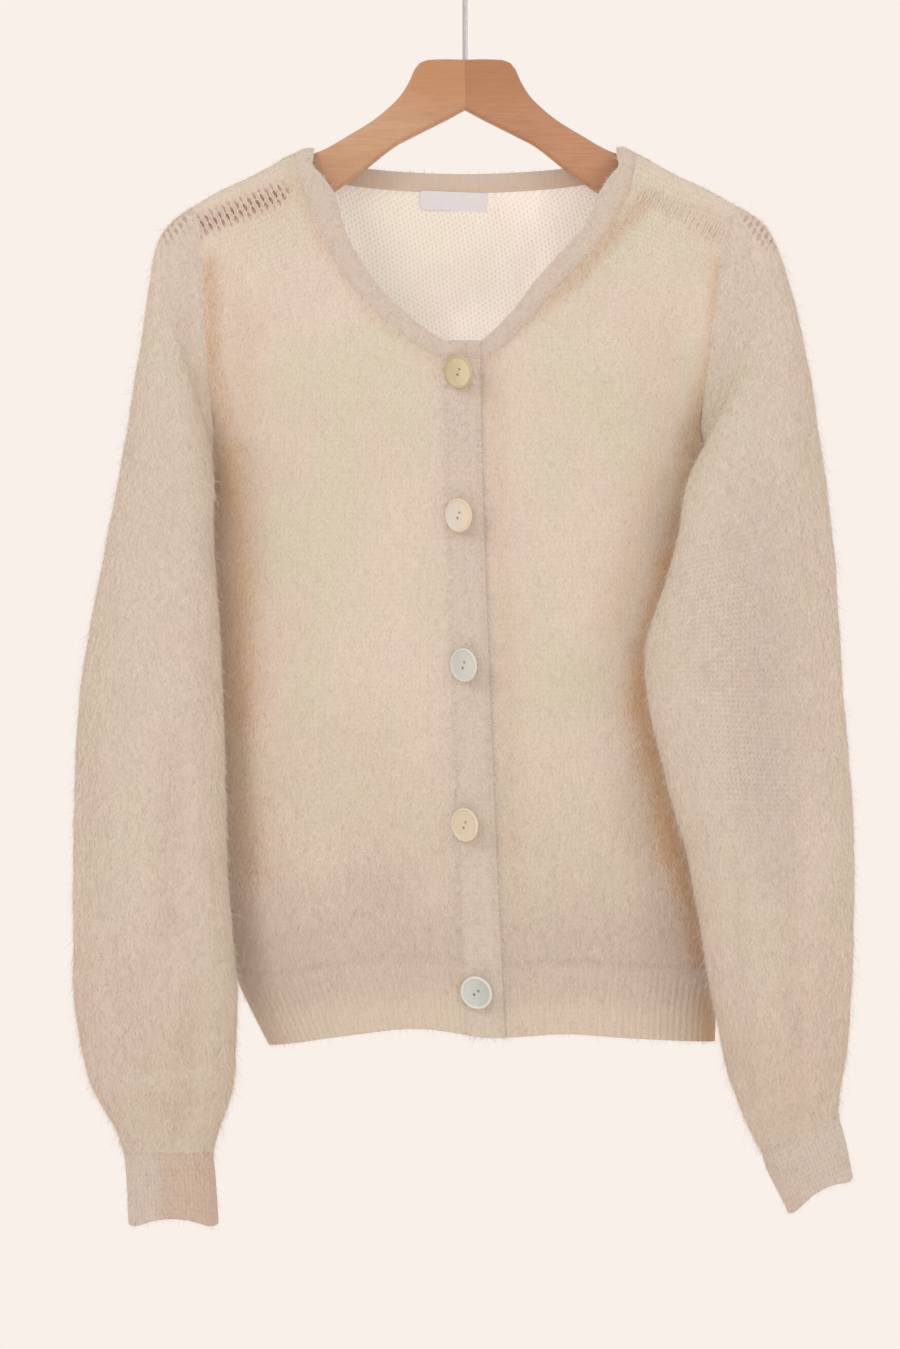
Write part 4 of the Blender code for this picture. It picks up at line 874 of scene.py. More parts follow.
def main_pieces(back, fronts, strips):
    """The fronts, the back and the sleeves, and a function for the normals at their seams."""
    cloths = {"back": [Cloth(back)]}
    for side, name in SIDES.items():
        match_shoulder(fronts[side], strips[side])
        cloths["front_" + name] = [Cloth(fronts[side], flip=side > 0)]
        cloths["back"].append(Cloth(strips[side], flip=side > 0))
        loop, foot = armhole(fronts[side], strips[side], back, side)
        rings = sleeve_rings(name, loop, foot)
        cloths["sleeve_" + name] = [Cloth(rings, closed=True, flip=side < 0)]
    grids = [cloth for group in cloths.values() for cloth in group]
    join_borders(grids)
    seams = nearest_normal(grids)
    for name in ("front_right", "front_left", "back"):
        square(cloths[name][0], -1, np.array((0.0, 0.0, 1.0)))
    for name in SIDES.values():
        sleeve = cloths["sleeve_" + name][0]
        axis = sleeve.points[-12].mean(axis=0) - sleeve.points[-1].mean(axis=0)
        square(sleeve, -1, axis / np.linalg.norm(axis))
        crease(cloths["front_" + name][0], "front", "back")
        crease(sleeve, "sleeve_%s_front" % name, "sleeve_%s_back" % name)
    crease(cloths["back"][0], "front", "back")
    return cloths, seams


def ribbings(back, fronts):
    """The cuffs and the ribbing of the hem, with a whole number of ribs to each."""
    knit = bpy.context.scene.cardigan_knit
    cloths = {}
    for side, name in SIDES.items():
        cuff = Cloth(cuff_rings(name), step=2.4, across=0.55, closed=True, flip=side < 0)
        cuff.ribs(knit.cuff_ribs, knit.rib_height * 0.7, 0.3)
        cloths["cuff_" + name] = [cuff]
    right, left = (functools.partial(edge_x, side) for side in SIDES)
    placket_right, placket_left = (functools.partial(inner_x, side) for side in SIDES)
    hems = {
        "hem_rib_back": (back[-1], 1, (right, left)),
        "hem_rib_front_right": (fronts[-1][-1][::-1], -1, (right, placket_right)),
        "hem_rib_front_left": (fronts[1][-1], -1, (placket_left, left)),
    }
    for name, (top, face, edges) in hems.items():
        length = sum((b - a).length for a, b in zip(top, top[1:]))
        count = round(length / knit.rib_pitch)
        rows = hem_rows(top, face, edges, under=name.endswith("left"))
        hem = Cloth(rows, step=3.0, across=length / (count * RIB_STEPS), flip=face < 0)
        hem.ribs(count, knit.rib_height, 0.35)
        cloths[name] = [hem]
    return cloths


def placket():
    """The two front bands; the upper one's free edge is thinner and rolls in."""
    upper = Cloth(band_rows(False), step=3.0, across=1.5, flip=True)
    inside = smooth((1.0 - np.linspace(-1.0, 1.0, upper.points.shape[1])) / 0.5)
    upper.taper = upper.taper * (0.3 + 0.7 * inside)
    upper.points[..., 1] += ROLL * (1.0 - inside)
    lower = Cloth(band_rows(True), step=4.0, across=3.0, flip=True)
    return {"buttonhole_band": [upper], "button_band": [lower]}


def neckband(rows, seams):
    """The band round the neck; it is thinner at its free edge, and its upper end rolls in."""
    band = Cloth(rows, step=2.4, across=1.2, thick=NECKBAND_WALL)
    for r in range(len(band.points)):
        band.normals[r, 0] = seams(band.points[r, 0])
    inside = smooth((1.0 - np.linspace(0.0, 1.0, band.points.shape[1])) / 0.3)
    end = np.maximum(0.0, 1.0 - np.arange(len(band.points)) / 4.0)[:, None]
    band.points[..., 1] += ROLL * end ** 2
    band.taper = band.taper * (0.5 + 0.6 * inside) * (1.0 - 0.6 * end)
    return band


@functools.lru_cache(maxsize=1)
def wardrobe():
    """Every piece of cloth by its name, as a list of grids."""
    back = back_rows()
    fronts = {side: front_rows(side) for side in SIDES}
    strips = {side: ridge_strip(side, back[0]) for side in SIDES}
    cloths, seams = main_pieces(back, fronts, strips)
    cloths.update(ribbings(back, fronts))
    cloths.update(placket())
    line = neck_line(fronts, strips, back[0])
    cloths["neckband"] = [neckband(neckband_rows(line, seams), seams)]
    for name, group in cloths.items():
        for cloth, edges in zip(group, TUCKS.get(name, (("top",),))):
            for edge in edges:
                cloth.tuck(edge)
    return cloths


# --- Meshes ---


def new_object(name, mesh):
    made = bpy.data.objects.new(name, mesh)
    bpy.context.scene.collection.objects.link(made)
    return made


def mesh_from(name, points, faces, materials, slots=None, knit=None):
    """A smooth mesh, in metres, from points in millimetres."""
    mesh = bpy.data.meshes.new(name)
    mesh.from_pydata((np.asarray(points) * MM).tolist(), [], [list(f) for f in faces])
    for material in materials:
        mesh.materials.append(material)
    if slots is not None:
        mesh.polygons.foreach_set("material_index", np.asarray(slots, np.int32))
    if knit is not None:
        layer = mesh.uv_layers.new(name="knit")
        layer.uv.foreach_set("vector", np.asarray(knit, np.float32).ravel())
    mesh.shade_smooth()
    mesh.set_sharp_from_angle(angle=SHARP_SHELL)
    mesh.update()
    return mesh


def store(mesh, name, values):
    """Keep a number, or three, for each point of the mesh."""
    values = np.asarray(values, np.float32).reshape(len(mesh.vertices), -1)
    if values.shape[1] == 3:
        attribute = mesh.attributes.new(name, "FLOAT_VECTOR", "POINT")
        attribute.data.foreach_set("vector", values.ravel())
    else:
        attribute = mesh.attributes.new(name, "FLOAT", "POINT")
        attribute.data.foreach_set("value", values.ravel())


def keep_marks(mesh, name, cloths, keys, skins):
    """Store marks for the points of each grid's outer skin, and of its inner one if it has two."""
    found = [marks_of(name, cloth) for cloth in cloths]
    for key in keys:
        values = [np.tile(marked[key].reshape(cloth.taper.size, -1), (skins, 1))
                  for cloth, marked in zip(cloths, found)]
        store(mesh, key, np.concatenate(values))


def shell(name, face_finish, inside_finish):
    """The closed walls of a piece of cloth, with the marks that its finish reads."""
    cloths = wardrobe()[name]
    points, faces, slots, knit, start = [], [], [], [], 0
    for cloth in cloths:
        quads, skin = cloth.faces()
        points.append(cloth.skins())
        faces.append(quads + start)
        slots.append(np.repeat((0, 1, 0), (skin, skin, len(quads) - 2 * skin)))
        knit.append(cloth.corners(quads))
        start += len(points[-1])
    mesh = mesh_from(name, np.concatenate(points), np.concatenate(faces),
                     (face_finish, inside_finish), np.concatenate(slots), np.concatenate(knit))
    keep_marks(mesh, name, cloths, ("clear", "slots", "shade", "lilac"), 2)
    return new_object(name + "_knit", mesh)


def dress(piece, slot, *nodes):
    """Hang a finished piece on the frame, in the place of its solids."""
    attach(piece, "root")
    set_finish(piece, slot)
    if nodes:
        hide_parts(*nodes)
    return piece


# --- Finishes ---

class Value:
    """A number in a node tree: sums on it add Math nodes."""

    def __init__(self, tree, socket):
        self.tree, self.socket = tree, socket

    def math(self, operation, *others):
        inputs = dict(enumerate((self,) + others))
        return self.tree.add("ShaderNodeMath", {"operation": operation}, inputs)

    __add__ = __radd__ = functools.partialmethod(math, "ADD")
    __sub__ = functools.partialmethod(math, "SUBTRACT")
    __mul__ = __rmul__ = functools.partialmethod(math, "MULTIPLY")
    __truediv__ = functools.partialmethod(math, "DIVIDE")
    __pow__ = functools.partialmethod(math, "POWER")
    fract = functools.partialmethod(math, "FRACT")
    floor = functools.partialmethod(math, "FLOOR")
    absolute = functools.partialmethod(math, "ABSOLUTE")

    def __rsub__(self, other):
        return self.tree.add("ShaderNodeMath", {"operation": "SUBTRACT"}, {0: other, 1: self})

    def wave(self):
        """1 at whole numbers and 0 halfway between them."""
        return (self * (2 * math.pi)).math("COSINE") * 0.5 + 0.5

    def above(self, low, high):
        """0 below low and 1 above high, with an even ease."""
        return self.tree.add("ShaderNodeMapRange", {"interpolation_type": "SMOOTHSTEP"},
                             {"Value": self, "From Min": low, "From Max": high})


class Tree:
    """Builds a node tree."""

    def __init__(self, tree):
        self.tree = tree

    def add(self, kind, settings=None, inputs=None, output=0):
        """A node: its settings are set first, then the values or links of its sockets."""
        node = self.tree.nodes.new(kind)
        for name, value in (settings or {}).items():
            setattr(node, name, value)
        for key, value in (inputs or {}).items():
            self.feed(self.pick(node.inputs, key), value)
        return Value(self, self.pick(node.outputs, output)) if len(node.outputs) else None

    def axes(self, vector, names):
        """The named parts of a vector."""
        return [self.add("ShaderNodeSeparateXYZ", {}, {0: vector}, axis) for axis in names]

    def pick(self, sockets, key):
        if isinstance(key, int):
            return sockets[key]
        return next(s for s in sockets if s.enabled and s.name == key)

    def feed(self, socket, value):
        if isinstance(value, Value):
            self.tree.links.new(value.socket, socket)
        elif socket.type == "RGBA":
            socket.default_value = (*value[:3], 1.0)
        else:
            socket.default_value = value


class Finish(Tree):
    """A Principled material under construction."""

    def __init__(self, name, **constants):
        self.material = bpy.data.materials.new(name)
        self.material.use_nodes = True
        super().__init__(self.material.node_tree)
        for socket, value in constants.items():
            self.set(socket.replace("_", " "), value)

    def set(self, socket, value):
        """Give the shader's own socket a constant, or link what varies to it."""
        self.feed(self.tree.nodes["Principled BSDF"].inputs[socket], value)

    def place(self):
        return self.add("ShaderNodeTexCoord", output="Object")

    def knit(self):
        """Across and up on the knit, in millimetres."""
        return self.axes(self.add("ShaderNodeUVMap", {"uv_map": "knit"}), "XY")

    def marks(self, *names):
        return [self.add("ShaderNodeAttribute", {"attribute_name": name}, output="Fac")
                for name in names]

    def texture(self, mapping, scale, detail, distortion=0.0):
        """Noise from 0 to 1, in a place that is mapped first."""
        spot = self.add("ShaderNodeMapping", {}, {"Vector": self.place(), **mapping})
        return self.add("ShaderNodeTexNoise", {}, {
            "Vector": spot, "Scale": scale, "Detail": detail, "Distortion": distortion})

    def noise(self, size, detail=2.0, stretch=(1.0, 1.0, 1.0), shift=(0.0, 0.0, 0.0), distortion=0.0):
        """Noise from 0 to 1, with features of about that size in millimetres."""
        mapping = {"Location": shift, "Scale": tuple(1.0 / s for s in stretch)}
        return self.texture(mapping, 1000.0 / size, detail, distortion)

    def layered(self, colour, *layers):
        """A colour with others laid over it, each by its share."""
        for share, over in layers:
            colour = self.add("ShaderNodeMix", {"data_type": "RGBA"},
                              {"Factor": share, "A": colour, "B": over}, output="Result")
        return colour

    def times(self, colour, amount):
        """A colour made lighter or darker by a number."""
        grey = self.add("ShaderNodeCombineColor", {}, {0: amount, 1: amount, 2: amount})
        return self.add("ShaderNodeMix", {"data_type": "RGBA", "blend_type": "MULTIPLY"},
                        {"Factor": 1.0, "A": colour, "B": grey}, output="Result")

    def finish(self, colour, height, depth, roughness=None):
        """Link what varies over the surface; depth is the bump's height in millimetres."""
        self.set("Base Color", colour)
        bump = self.add("ShaderNodeBump", {}, {"Height": height, "Distance": depth * MM})
        self.set("Normal", bump)
        if roughness is not None:
            self.set("Roughness", roughness)
        return self.material


def open_stitch(made, knit):
    """1 in the slots between the shoulders' strands, wherever the marks let them show."""
    x, z = (value / MM for value in made.axes(made.place(), "XZ"))
    x = x.absolute()
    column = (x * SLOPE[0] - z * SLOPE[1]) / knit.slot_pitch
    height = (x * SLOPE[1] + z * SLOPE[0]) / knit.slot_height + column.floor() * SLOT_STEP
    uneven = made.noise(5.0, 1.0, shift=(0.7, 0.3, 0.1))
    off = (column.fract() - 0.5).absolute() * 3.4 + ((height.fract() - 0.5) * 2.1) ** 2.0
    return (1.0 - (off + uneven).above(0.9, 1.6)) * (uneven * 0.6 + 0.5)


def between_stitches(made, knit, inside):
    """1 beside the two slanting legs of a stitch, or inside in small pits in straight lines."""
    across, up = made.knit()
    wale, row = across / knit.wale, up / knit.row
    if inside:
        loose = made.noise(7.0, 2.0, shift=(0.4, 0.2, 0.6)) * 0.9
        return ((wale + loose).wave() ** 1.6) * ((row + loose + wale.floor() * 0.5).wave() ** 1.1)
    side = ((wale.fract() - 0.5) * 2.0).absolute()
    crown = ((row + side * 0.55).fract() * math.pi).math("SINE")
    return (1.0 - crown.above(0.05, 0.75)) * (side.above(0.25, 0.9) * 0.6 + 0.4)


def mohair(name, knit, base, glow, inside=False):
    """Brushed mohair, its stitches showing only where the piece's own marks say.

    The glow stands for the light that comes through the thin cloth from behind it.
    """
    made = Finish(name, Roughness=0.95, Sheen_Weight=0.25, Sheen_Roughness=0.6,
                  Sheen_Tint=knit.cream, Specular_IOR_Level=0.15, Emission_Strength=glow)
    clear, slots, shade, lilac = made.marks("clear", "slots", "shade", "lilac")
    # The hollows between the stitches, which a darker colour paints as shade.
    pit = between_stitches(made, knit, inside)
    slot = open_stitch(made, knit) * slots
    patch = made.noise(70.0, 1.0, stretch=(1.0, 1.0, 1.5))
    warm = made.noise(38.0, 2.0, shift=(0.3, 0.1, 0.7), stretch=(1.0, 1.0, 1.8))
    streak = made.noise(1.6, 2.0, stretch=(1.0, 1.0, 5.0), distortion=0.6)
    grain = made.noise(1.1, 1.0, shift=(0.2, 0.5, 0.1))
    colour = made.layered(
        base, (patch.above(0.35, 0.65), knit.green_cast), (warm.above(0.45, 0.7) * 0.8, knit.pink_cast),
        # Painted shade: the deep colour goes where the shade mark says, and the lilac partly paints shade
        # too.
        (lilac, knit.lilac), (shade, knit.deep), (pit * clear * 0.6, knit.pit),
        # The open stitches are painted dark: the wood behind them, and painted shade.
        (slots * 0.6, knit.wash), (slot, knit.gap))
    colour = made.times(colour, 0.93 + streak * 0.1 + grain * 0.04)
    if inside:
        # More painted shade in the hollows of the inside, which also glows less there.
        colour = made.layered(colour, (pit * 0.3, knit.pit))
        made.set("Emission Color", made.times(knit.glow, 1.0 - pit * 0.3))
    else:
        made.set("Emission Color", made.times(knit.warm_glow, shade))
    relief = (1.0 - pit) * clear * 0.8 + streak * 0.35 + grain * 0.15 - slot * 1.5
    return made.finish(colour, relief, 0.7)


def fibre(name, colour, glow=0.0):
    """One even colour of fibre; the pile's variety is in which fibre has which."""
    warm = bpy.context.scene.cardigan_knit.warm_glow
    made = Finish(name, Base_Color=colour, Roughness=0.85, Sheen_Weight=0.3, Sheen_Roughness=0.5,
                  Specular_IOR_Level=0.2, Emission_Strength=glow, Emission_Color=warm)
    return made.material


# The last fibre colour is painted shade, warm and dark, for the valleys.
FIBRES = ("beige", "pale", "pink", "lilac", "grey", "brown")


@functools.lru_cache(maxsize=1)
def finishes():
    """The cloth's materials by name, made once."""
    knit, pile = bpy.context.scene.cardigan_knit, bpy.context.scene.cardigan_pile
    made = {
        "mohair_face": mohair("mohair_face", knit, knit.cream, GLOW),
        "mohair_inside": mohair("mohair_inside", knit, knit.inside, GLOW_INSIDE, inside=True),
        "mohair_ribbing": mohair("mohair_ribbing", knit, knit.rib, GLOW),
    }
    for key in FIBRES:
        glow = GLOW_FIBRE if key == "brown" else 0.0
        made["fibre_" + key] = fibre("fibre_" + key, getattr(pile, key), glow)
    return made


# --- Geometry nodes ---

def new_group(name, sockets):
    """A geometry node group with named inputs; sockets are (name, type, default)."""
    group = bpy.data.node_groups.new(name, "GeometryNodeTree")
    group.is_modifier = True
    group.interface.new_socket("Geometry", in_out="INPUT", socket_type="NodeSocketGeometry")
    for title, kind, default in sockets:
        socket = group.interface.new_socket(title, in_out="INPUT", socket_type="NodeSocket" + kind)
        if default is not None:
            socket.default_value = default
    group.interface.new_socket("Geometry", in_out="OUTPUT", socket_type="NodeSocketGeometry")
    return group


def evaluated(source):
    """The plain mesh that an object's modifiers make of it."""
    bpy.context.view_layer.update()
    graph = bpy.context.evaluated_depsgraph_get()
    return bpy.data.meshes.new_from_object(source.evaluated_get(graph))


def grown(source, group, values, name):
    """The plain mesh that a node group makes of an object; its modifier is then removed."""
    modifier = source.modifiers.new("grow", "NODES")
    modifier.node_group = group
    for item in group.interface.items_tree:
        if item.item_type == "SOCKET" and item.in_out == "INPUT" and item.name in values:
            modifier[item.identifier] = values[item.name]
    mesh = evaluated(source)
    source.modifiers.remove(modifier)
    mesh.name = name
    return mesh


# The blades that fibres are made from: how far each bends out and curls aside.
LONG_BLADES = ((0.16, 0.10), (-0.10, -0.16), (0.26, -0.07), (0.04, 0.2))
SHORT_BLADES = ((0.0, 0.0),)
LONG_ROWS, SHORT_ROWS = 3, 2

# The tint above which a fibre takes each colour.
FIBRE_STEPS = (("Pale", 0.42), ("Pink", 0.62), ("Lilac", 0.95), ("Grey", 1.52), ("Brown", 2.5))


class Pile(Tree):
    """Builds the node tree of a pile: the fibres over a surface."""

    def given(self, name):
        return self.add("NodeGroupInput", output=name)

    def mark(self, name, kind="FLOAT"):
        return self.add("GeometryNodeInputNamedAttribute", {"data_type": kind}, {"Name": name}, "Attribute")

    def geometry(self, kind, inputs, output="Geometry"):
        return self.add("GeometryNode" + kind, {}, inputs, output)

    def vector(self, operation, *inputs, scale=None):
        sockets = dict(enumerate(inputs))
        if scale is not None:
            sockets["Scale"] = scale
        return self.add("ShaderNodeVectorMath", {"operation": operation}, sockets, "Vector")

    def square_to(self, a, b):
        return self.vector("CROSS_PRODUCT", a, b)

    def chance(self, low, high, salt, kind="FLOAT"):
        return self.add("FunctionNodeRandomValue", {"data_type": kind},
                        {"Min": low, "Max": high, "Seed": self.given("Seed") + salt}, "Value")

    def compare(self, a, operation, b):
        return self.add("FunctionNodeCompare", {"data_type": "FLOAT", "operation": operation},
                        {"A": a, "B": b}, "Result")

    def by_chance(self, salt, share, yes, no):
        """One value for a share of the fibres and another for the rest."""
        chosen = self.compare(self.chance(0.0, 1.0, salt), "LESS_THAN", share)
        return self.add("GeometryNodeSwitch", {"input_type": "FLOAT"},
                        {"Switch": chosen, "False": no, "True": yes})

    def tint(self):
        """A fibre's colour goes by broad patches, by the marks for lilac and painted shade, and by chance:
        where shade is painted, the warm dark fibres that paint it are chosen.
        """
        place = self.add("GeometryNodeInputPosition")
        patch = self.add("ShaderNodeTexNoise", {}, {"Vector": place, "Scale": 26.0, "Detail": 1.0})
        tint = patch + self.chance(-0.2, 0.2, 11)
        tint = self.by_chance(13, self.mark("lilac"), tint + 1.0, tint)
        # Where shade is painted, most fibres take the warm dark colour of painted shade.
        return self.by_chance(17, self.mark("shade") * self.mark("shade") * 1.4, 3.0, tint)

    def blade(self, bend, curl, rows):
        """A fibre in a space where it is 1 long: it bends out and curls aside."""
        grid = self.geometry("MeshGrid", {"Size X": 1.0, "Size Y": 1.0, "Vertices X": 2,
                                          "Vertices Y": rows}, "Mesh")
        x, y = self.axes(self.add("GeometryNodeInputPosition"), "XY")
        y = y + 0.5
        arch = y * (1.0 - y) * 4.0
        shape = self.add("ShaderNodeCombineXYZ", {}, {
            "X": x * (1.0 - y * y) + arch * (curl * 12.0), "Y": y, "Z": arch * bend})
        grid = self.geometry("SetPosition", {"Geometry": grid, "Position": shape})
        grid = self.geometry("MergeByDistance", {"Geometry": grid, "Distance": 0.01})
        return self.geometry("GeometryToInstance", {0: grid}, 0)

    def turn(self, normal):
        """A fibre lies along its brushed direction, more or less, and lifts off the cloth."""
        loose = self.chance((-1.0, -1.0, -1.0), (1.0, 1.0, 1.0), 3, "FLOAT_VECTOR")
        way = self.vector("ADD", self.mark("lie", "FLOAT_VECTOR"), loose)
        lift = self.given("Lift") * self.chance(0.1, 1.9, 5)
        along = self.vector("NORMALIZE", self.square_to(self.square_to(normal, way), normal))
        lifted = self.vector("ADD", along, self.vector("SCALE", normal, scale=lift))
        aim = self.vector("NORMALIZE", lifted)
        roll = self.given("Roll") * self.chance(-1.0, 1.0, 7)
        rolled = self.vector("ADD", normal, self.vector("SCALE", self.square_to(normal, aim), scale=roll))
        return self.add("FunctionNodeAxesToRotation", {"primary_axis": "Y", "secondary_axis": "Z"},
                        {"Primary Axis": aim, "Secondary Axis": rolled})


def pile_group(name, blades, rows):
    """Fibres over a surface: where the marks say, lying the way it was brushed."""
    group = new_group(name, (
        ("Density", "Float", 200000.0), ("Length", "Float", 0.008),
        ("Thickness", "Float", 0.0003), ("Lift", "Float", 0.35), ("Roll", "Float", 0.3),
        ("Seed", "Int", 1),
    ) + tuple((name.title(), "Material", None) for name in FIBRES))
    tree = Pile(group)
    points = tree.geometry("DistributePointsOnFaces", {
        "Mesh": tree.given("Geometry"), "Density": tree.given("Density") * tree.mark("pile"),
        "Seed": tree.given("Seed")}, "Points")
    normal = Value(tree, points.socket.node.outputs["Normal"])
    points = tree.add("GeometryNodeStoreNamedAttribute", {"data_type": "FLOAT", "domain": "POINT"},
                      {"Geometry": points, "Name": "tint", "Value": tree.tint()}, "Geometry")
    strands = tree.geometry("JoinGeometry", {})
    for bend, curl in blades:
        tree.feed(strands.socket.node.inputs[0], tree.blade(bend, curl, rows))
    length = tree.given("Length") * tree.mark("reach") * tree.chance(0.45, 1.45, 9)
    size = tree.add("ShaderNodeCombineXYZ", {}, {"X": tree.given("Thickness"), "Y": length, "Z": length})
    made = tree.geometry("InstanceOnPoints", {
        "Points": points, "Instance": strands, "Pick Instance": True, "Rotation": tree.turn(normal),
        "Scale": size}, "Instances")
    made = tree.geometry("RealizeInstances", {"Geometry": made})
    made = tree.geometry("SetMaterial", {"Geometry": made, "Material": tree.given("Beige")})
    for name, low in FIBRE_STEPS:
        above = tree.compare(tree.mark("tint"), "GREATER_THAN", low)
        made = tree.geometry("SetMaterial", {"Geometry": made, "Selection": above,
                                             "Material": tree.given(name)})
    tree.add("NodeGroupOutput", {}, {"Geometry": made})
    return group


# --- What the marks on the cloth say ---

def near_line(points, x0, z0, x1, z1, width):
    """1 on a line as seen from the front and 0 from width off it."""
    length = math.hypot(x1 - x0, z1 - z0)
    ax, az = (x1 - x0) / length, (z1 - z0) / length
    along = np.clip((points[..., 0] - x0) * ax + (points[..., 2] - z0) * az, 0.0, length)
    off = np.hypot(points[..., 0] - x0 - along * ax, points[..., 2] - z0 - along * az)
    return 1.0 - smooth(off / width)


def front_facing(cloth):
    return smooth((0.25 - cloth.normals[..., 1]) / 0.5)


def open_stitches(cloth):
    """Where the shoulders' open stitches show."""
    found = 0.0
    for *line, share in OPEN_STITCHES:
        found = np.maximum(found, share * near_line(cloth.points, *line, OPEN_WIDTH))
    return found * front_facing(cloth)


def tones(points, kind):
    """How strongly shade is painted on the cloth in a warm dark colour, and how lilac it is, the lilac
    being partly painted shade too.
    """
    brown = lilac = 0.0 * points[..., 0]
    for *line, shade_brown_there, lilac_there in zip(*TONES[kind].values()):
        share = near_line(points, *line)
        brown = np.maximum(brown, shade_brown_there * share)
        lilac = np.maximum(lilac, lilac_there * share)
    return brown, lilac


def edges_near(cloth, width):
    """1 at the cloth's open edges and 0 from width in."""
    return 1.0 - cloth.inset(width)


def marks(cloth, lie=(0.0, 0.0, -1.2), **values):
    """Numbers for every point of the cloth, nought if not named, and the way the pile lies."""
    plain = 0.0 * cloth.points[..., 0]
    found = {key: values.get(key, 0.0) + plain
             for key in ("clear", "slots", "shade", "lilac", "pile", "reach")}
    found["lie"] = np.broadcast_to(np.array(lie), cloth.points.shape)
    return found


def panel_marks(cloth):
    """The fronts and the back."""
    _, y, z = coordinates(cloth)
    brown, lilac = tones(cloth.points, "body")
    facing = front_facing(cloth) * smooth((4.0 - y) / 8.0)
    brown, lilac = brown * facing, lilac * facing + 0.25 * (1.0 - facing)
    low = smooth((-460.0 - z) / 220.0)
    clear = 0.2 + 0.15 * (1.0 - smooth((-196.0 - z) / 45.0))
    edge, back = edges_near(cloth, 10.0), smooth((y - 5.0) / 10.0)
    slots = open_stitches(cloth)
    pile = (0.6 + 0.5 * low + 0.2 * edge - 0.25 * back) * (1.0 - 0.6 * slots)
    # Painted shade: the tones' shade, with more of it towards the hem, where the lilac deepens too.
    return marks(cloth, clear=clear, slots=slots, shade=brown + 0.06 * low,
                 lilac=lilac + 0.2 * low, pile=pile, reach=0.85 + 0.25 * low)


def sleeve_marks(cloth):
    """The sleeves: open stitches at their caps, and longer fibres along their outlines."""
    _, y, z = coordinates(cloth)
    facing = front_facing(cloth)
    cap = (near_line(cloth.points, 186, -196, 200, -212, 9.0)
           + near_line(cloth.points, -184, -196, -196, -208, 8.0)) * facing
    bump = near_line(cloth.points, 160, -440, 190, -560, 60.0)
    brown, lilac = tones(cloth.points, "sleeve")
    low, back = smooth((-620.0 - z) / 140.0), smooth(y / 12.0)
    # Painted light and shade: where the sleeve turns sideways it is laid with less lilac, so paler, and its
    # fibres grow longer; painted shade grows towards the cuff.
    turned = smooth((np.abs(cloth.normals[..., 0]) - 0.35) / 0.45)
    return marks(cloth, clear=0.2 + 0.45 * bump, slots=cap * 0.8,
                 shade=brown * facing + 0.06 * low,
                 lilac=np.maximum(lilac, 0.3) * (1.0 - 0.9 * turned),
                 pile=(1.0 - 0.3 * back + 0.15 * low) * (1.0 - 0.5 * cap),
                 reach=1.0 + 0.15 * low + 0.45 * turned)


def rib_marks(cloth):
    """The ribbing of the hem, paler and thinner towards its edge."""
    x, _, z = coordinates(cloth)
    edge = smooth((np.interp(x, HEM["x"], HEM["height"]) + 34.0 - z) / 20.0)
    # Painted shade: a little along the top, where it meets the fronts' painted shade, and more below the
    # valley beside the left sleeve.
    side = near_line(cloth.points, 160, -712, 162, -760, 16.0) * front_facing(cloth)
    return marks(cloth, clear=0.3, shade=0.14 - 0.06 * edge + 0.6 * side, lilac=0.65 - 0.5 * edge,
                 pile=1.1 - 0.2 * edge + 0.2 * edges_near(cloth, 8.0), reach=0.9 - 0.2 * edge)


def cuff_marks(cloth):
    """The cuffs: the right one lies in the shade of the sleeve towards the body."""
    x, _, _ = coordinates(cloth)
    dark = 0.36 if x[0, 0] < 0 else 0.03
    dark = dark * smooth((x + 207.0) / 16.0) * front_facing(cloth)
    return marks(cloth, clear=0.4, shade=dark, lilac=0.6 + 1.5 * dark, pile=0.9, reach=0.8)


def band_marks(cloth):
    """The front bands: fibres lie out over both edges."""
    across = np.linspace(-1.0, 1.0, cloth.points.shape[1])[None, :]
    edge = edges_near(cloth, 6.0)
    way = np.zeros(cloth.points.shape)
    way[..., 0], way[..., 2] = 1.6 * across * np.abs(across), -0.7
    return marks(cloth, clear=0.25, shade=0.03, lilac=0.45, pile=0.8 + 0.8 * edge,
                 reach=0.85 + 0.2 * edge, lie=way)


def neck_marks(cloth):
    """The neckband: darker behind, with fibres standing off both its edges."""
    x, y, _ = coordinates(cloth)
    behind = smooth((y + 6.0) / 14.0)
    columns = np.linspace(0.0, 1.0, cloth.points.shape[1])[None, :]
    edge = smooth((np.abs(columns - 0.5) - 0.2) / 0.3)
    # A painted shadow along the band's seam on the left front, and painted shade on the band behind the
    # neck.
    seam = smooth(1.0 - columns / 0.45) * smooth((x - 20.0) / 25.0) * (1.0 - behind)
    behind_shade = 0.26 * behind * (1.0 - columns)
    return marks(cloth, clear=0.15, shade=0.08 + behind_shade + 0.3 * seam,
                 lilac=0.65 + 0.1 * behind, pile=1.0 + 0.9 * edge - 0.3 * behind,
                 reach=0.62 + 0.2 * edge, lie=(0.0, 0.0, -0.3))


MARKS = {
    "front": panel_marks, "back": panel_marks, "sleeve": sleeve_marks, "cuff": cuff_marks,
    "hem": rib_marks, "buttonhole": band_marks, "button": band_marks, "neckband": neck_marks,
}


def marks_of(name, cloth):
    return MARKS[name.split("_")[0]](cloth)


# --- The brushed pile ---

def pile_ground(name, cloths):
    """The skin that the pile grows from, with the marks that it goes by."""
    points, faces, start = [], [], 0
    for cloth in cloths:
        quads, skin = cloth.faces()
        points.append(cloth.skins()[:cloth.taper.size])
        faces.append(quads[:skin] + start)
        start += len(points[-1])
    mesh = mesh_from("pile_ground", np.concatenate(points), np.concatenate(faces), ())
    keep_marks(mesh, name, cloths, ("pile", "reach", "lie", "shade", "lilac"), 1)
    return new_object("pile_ground", mesh)


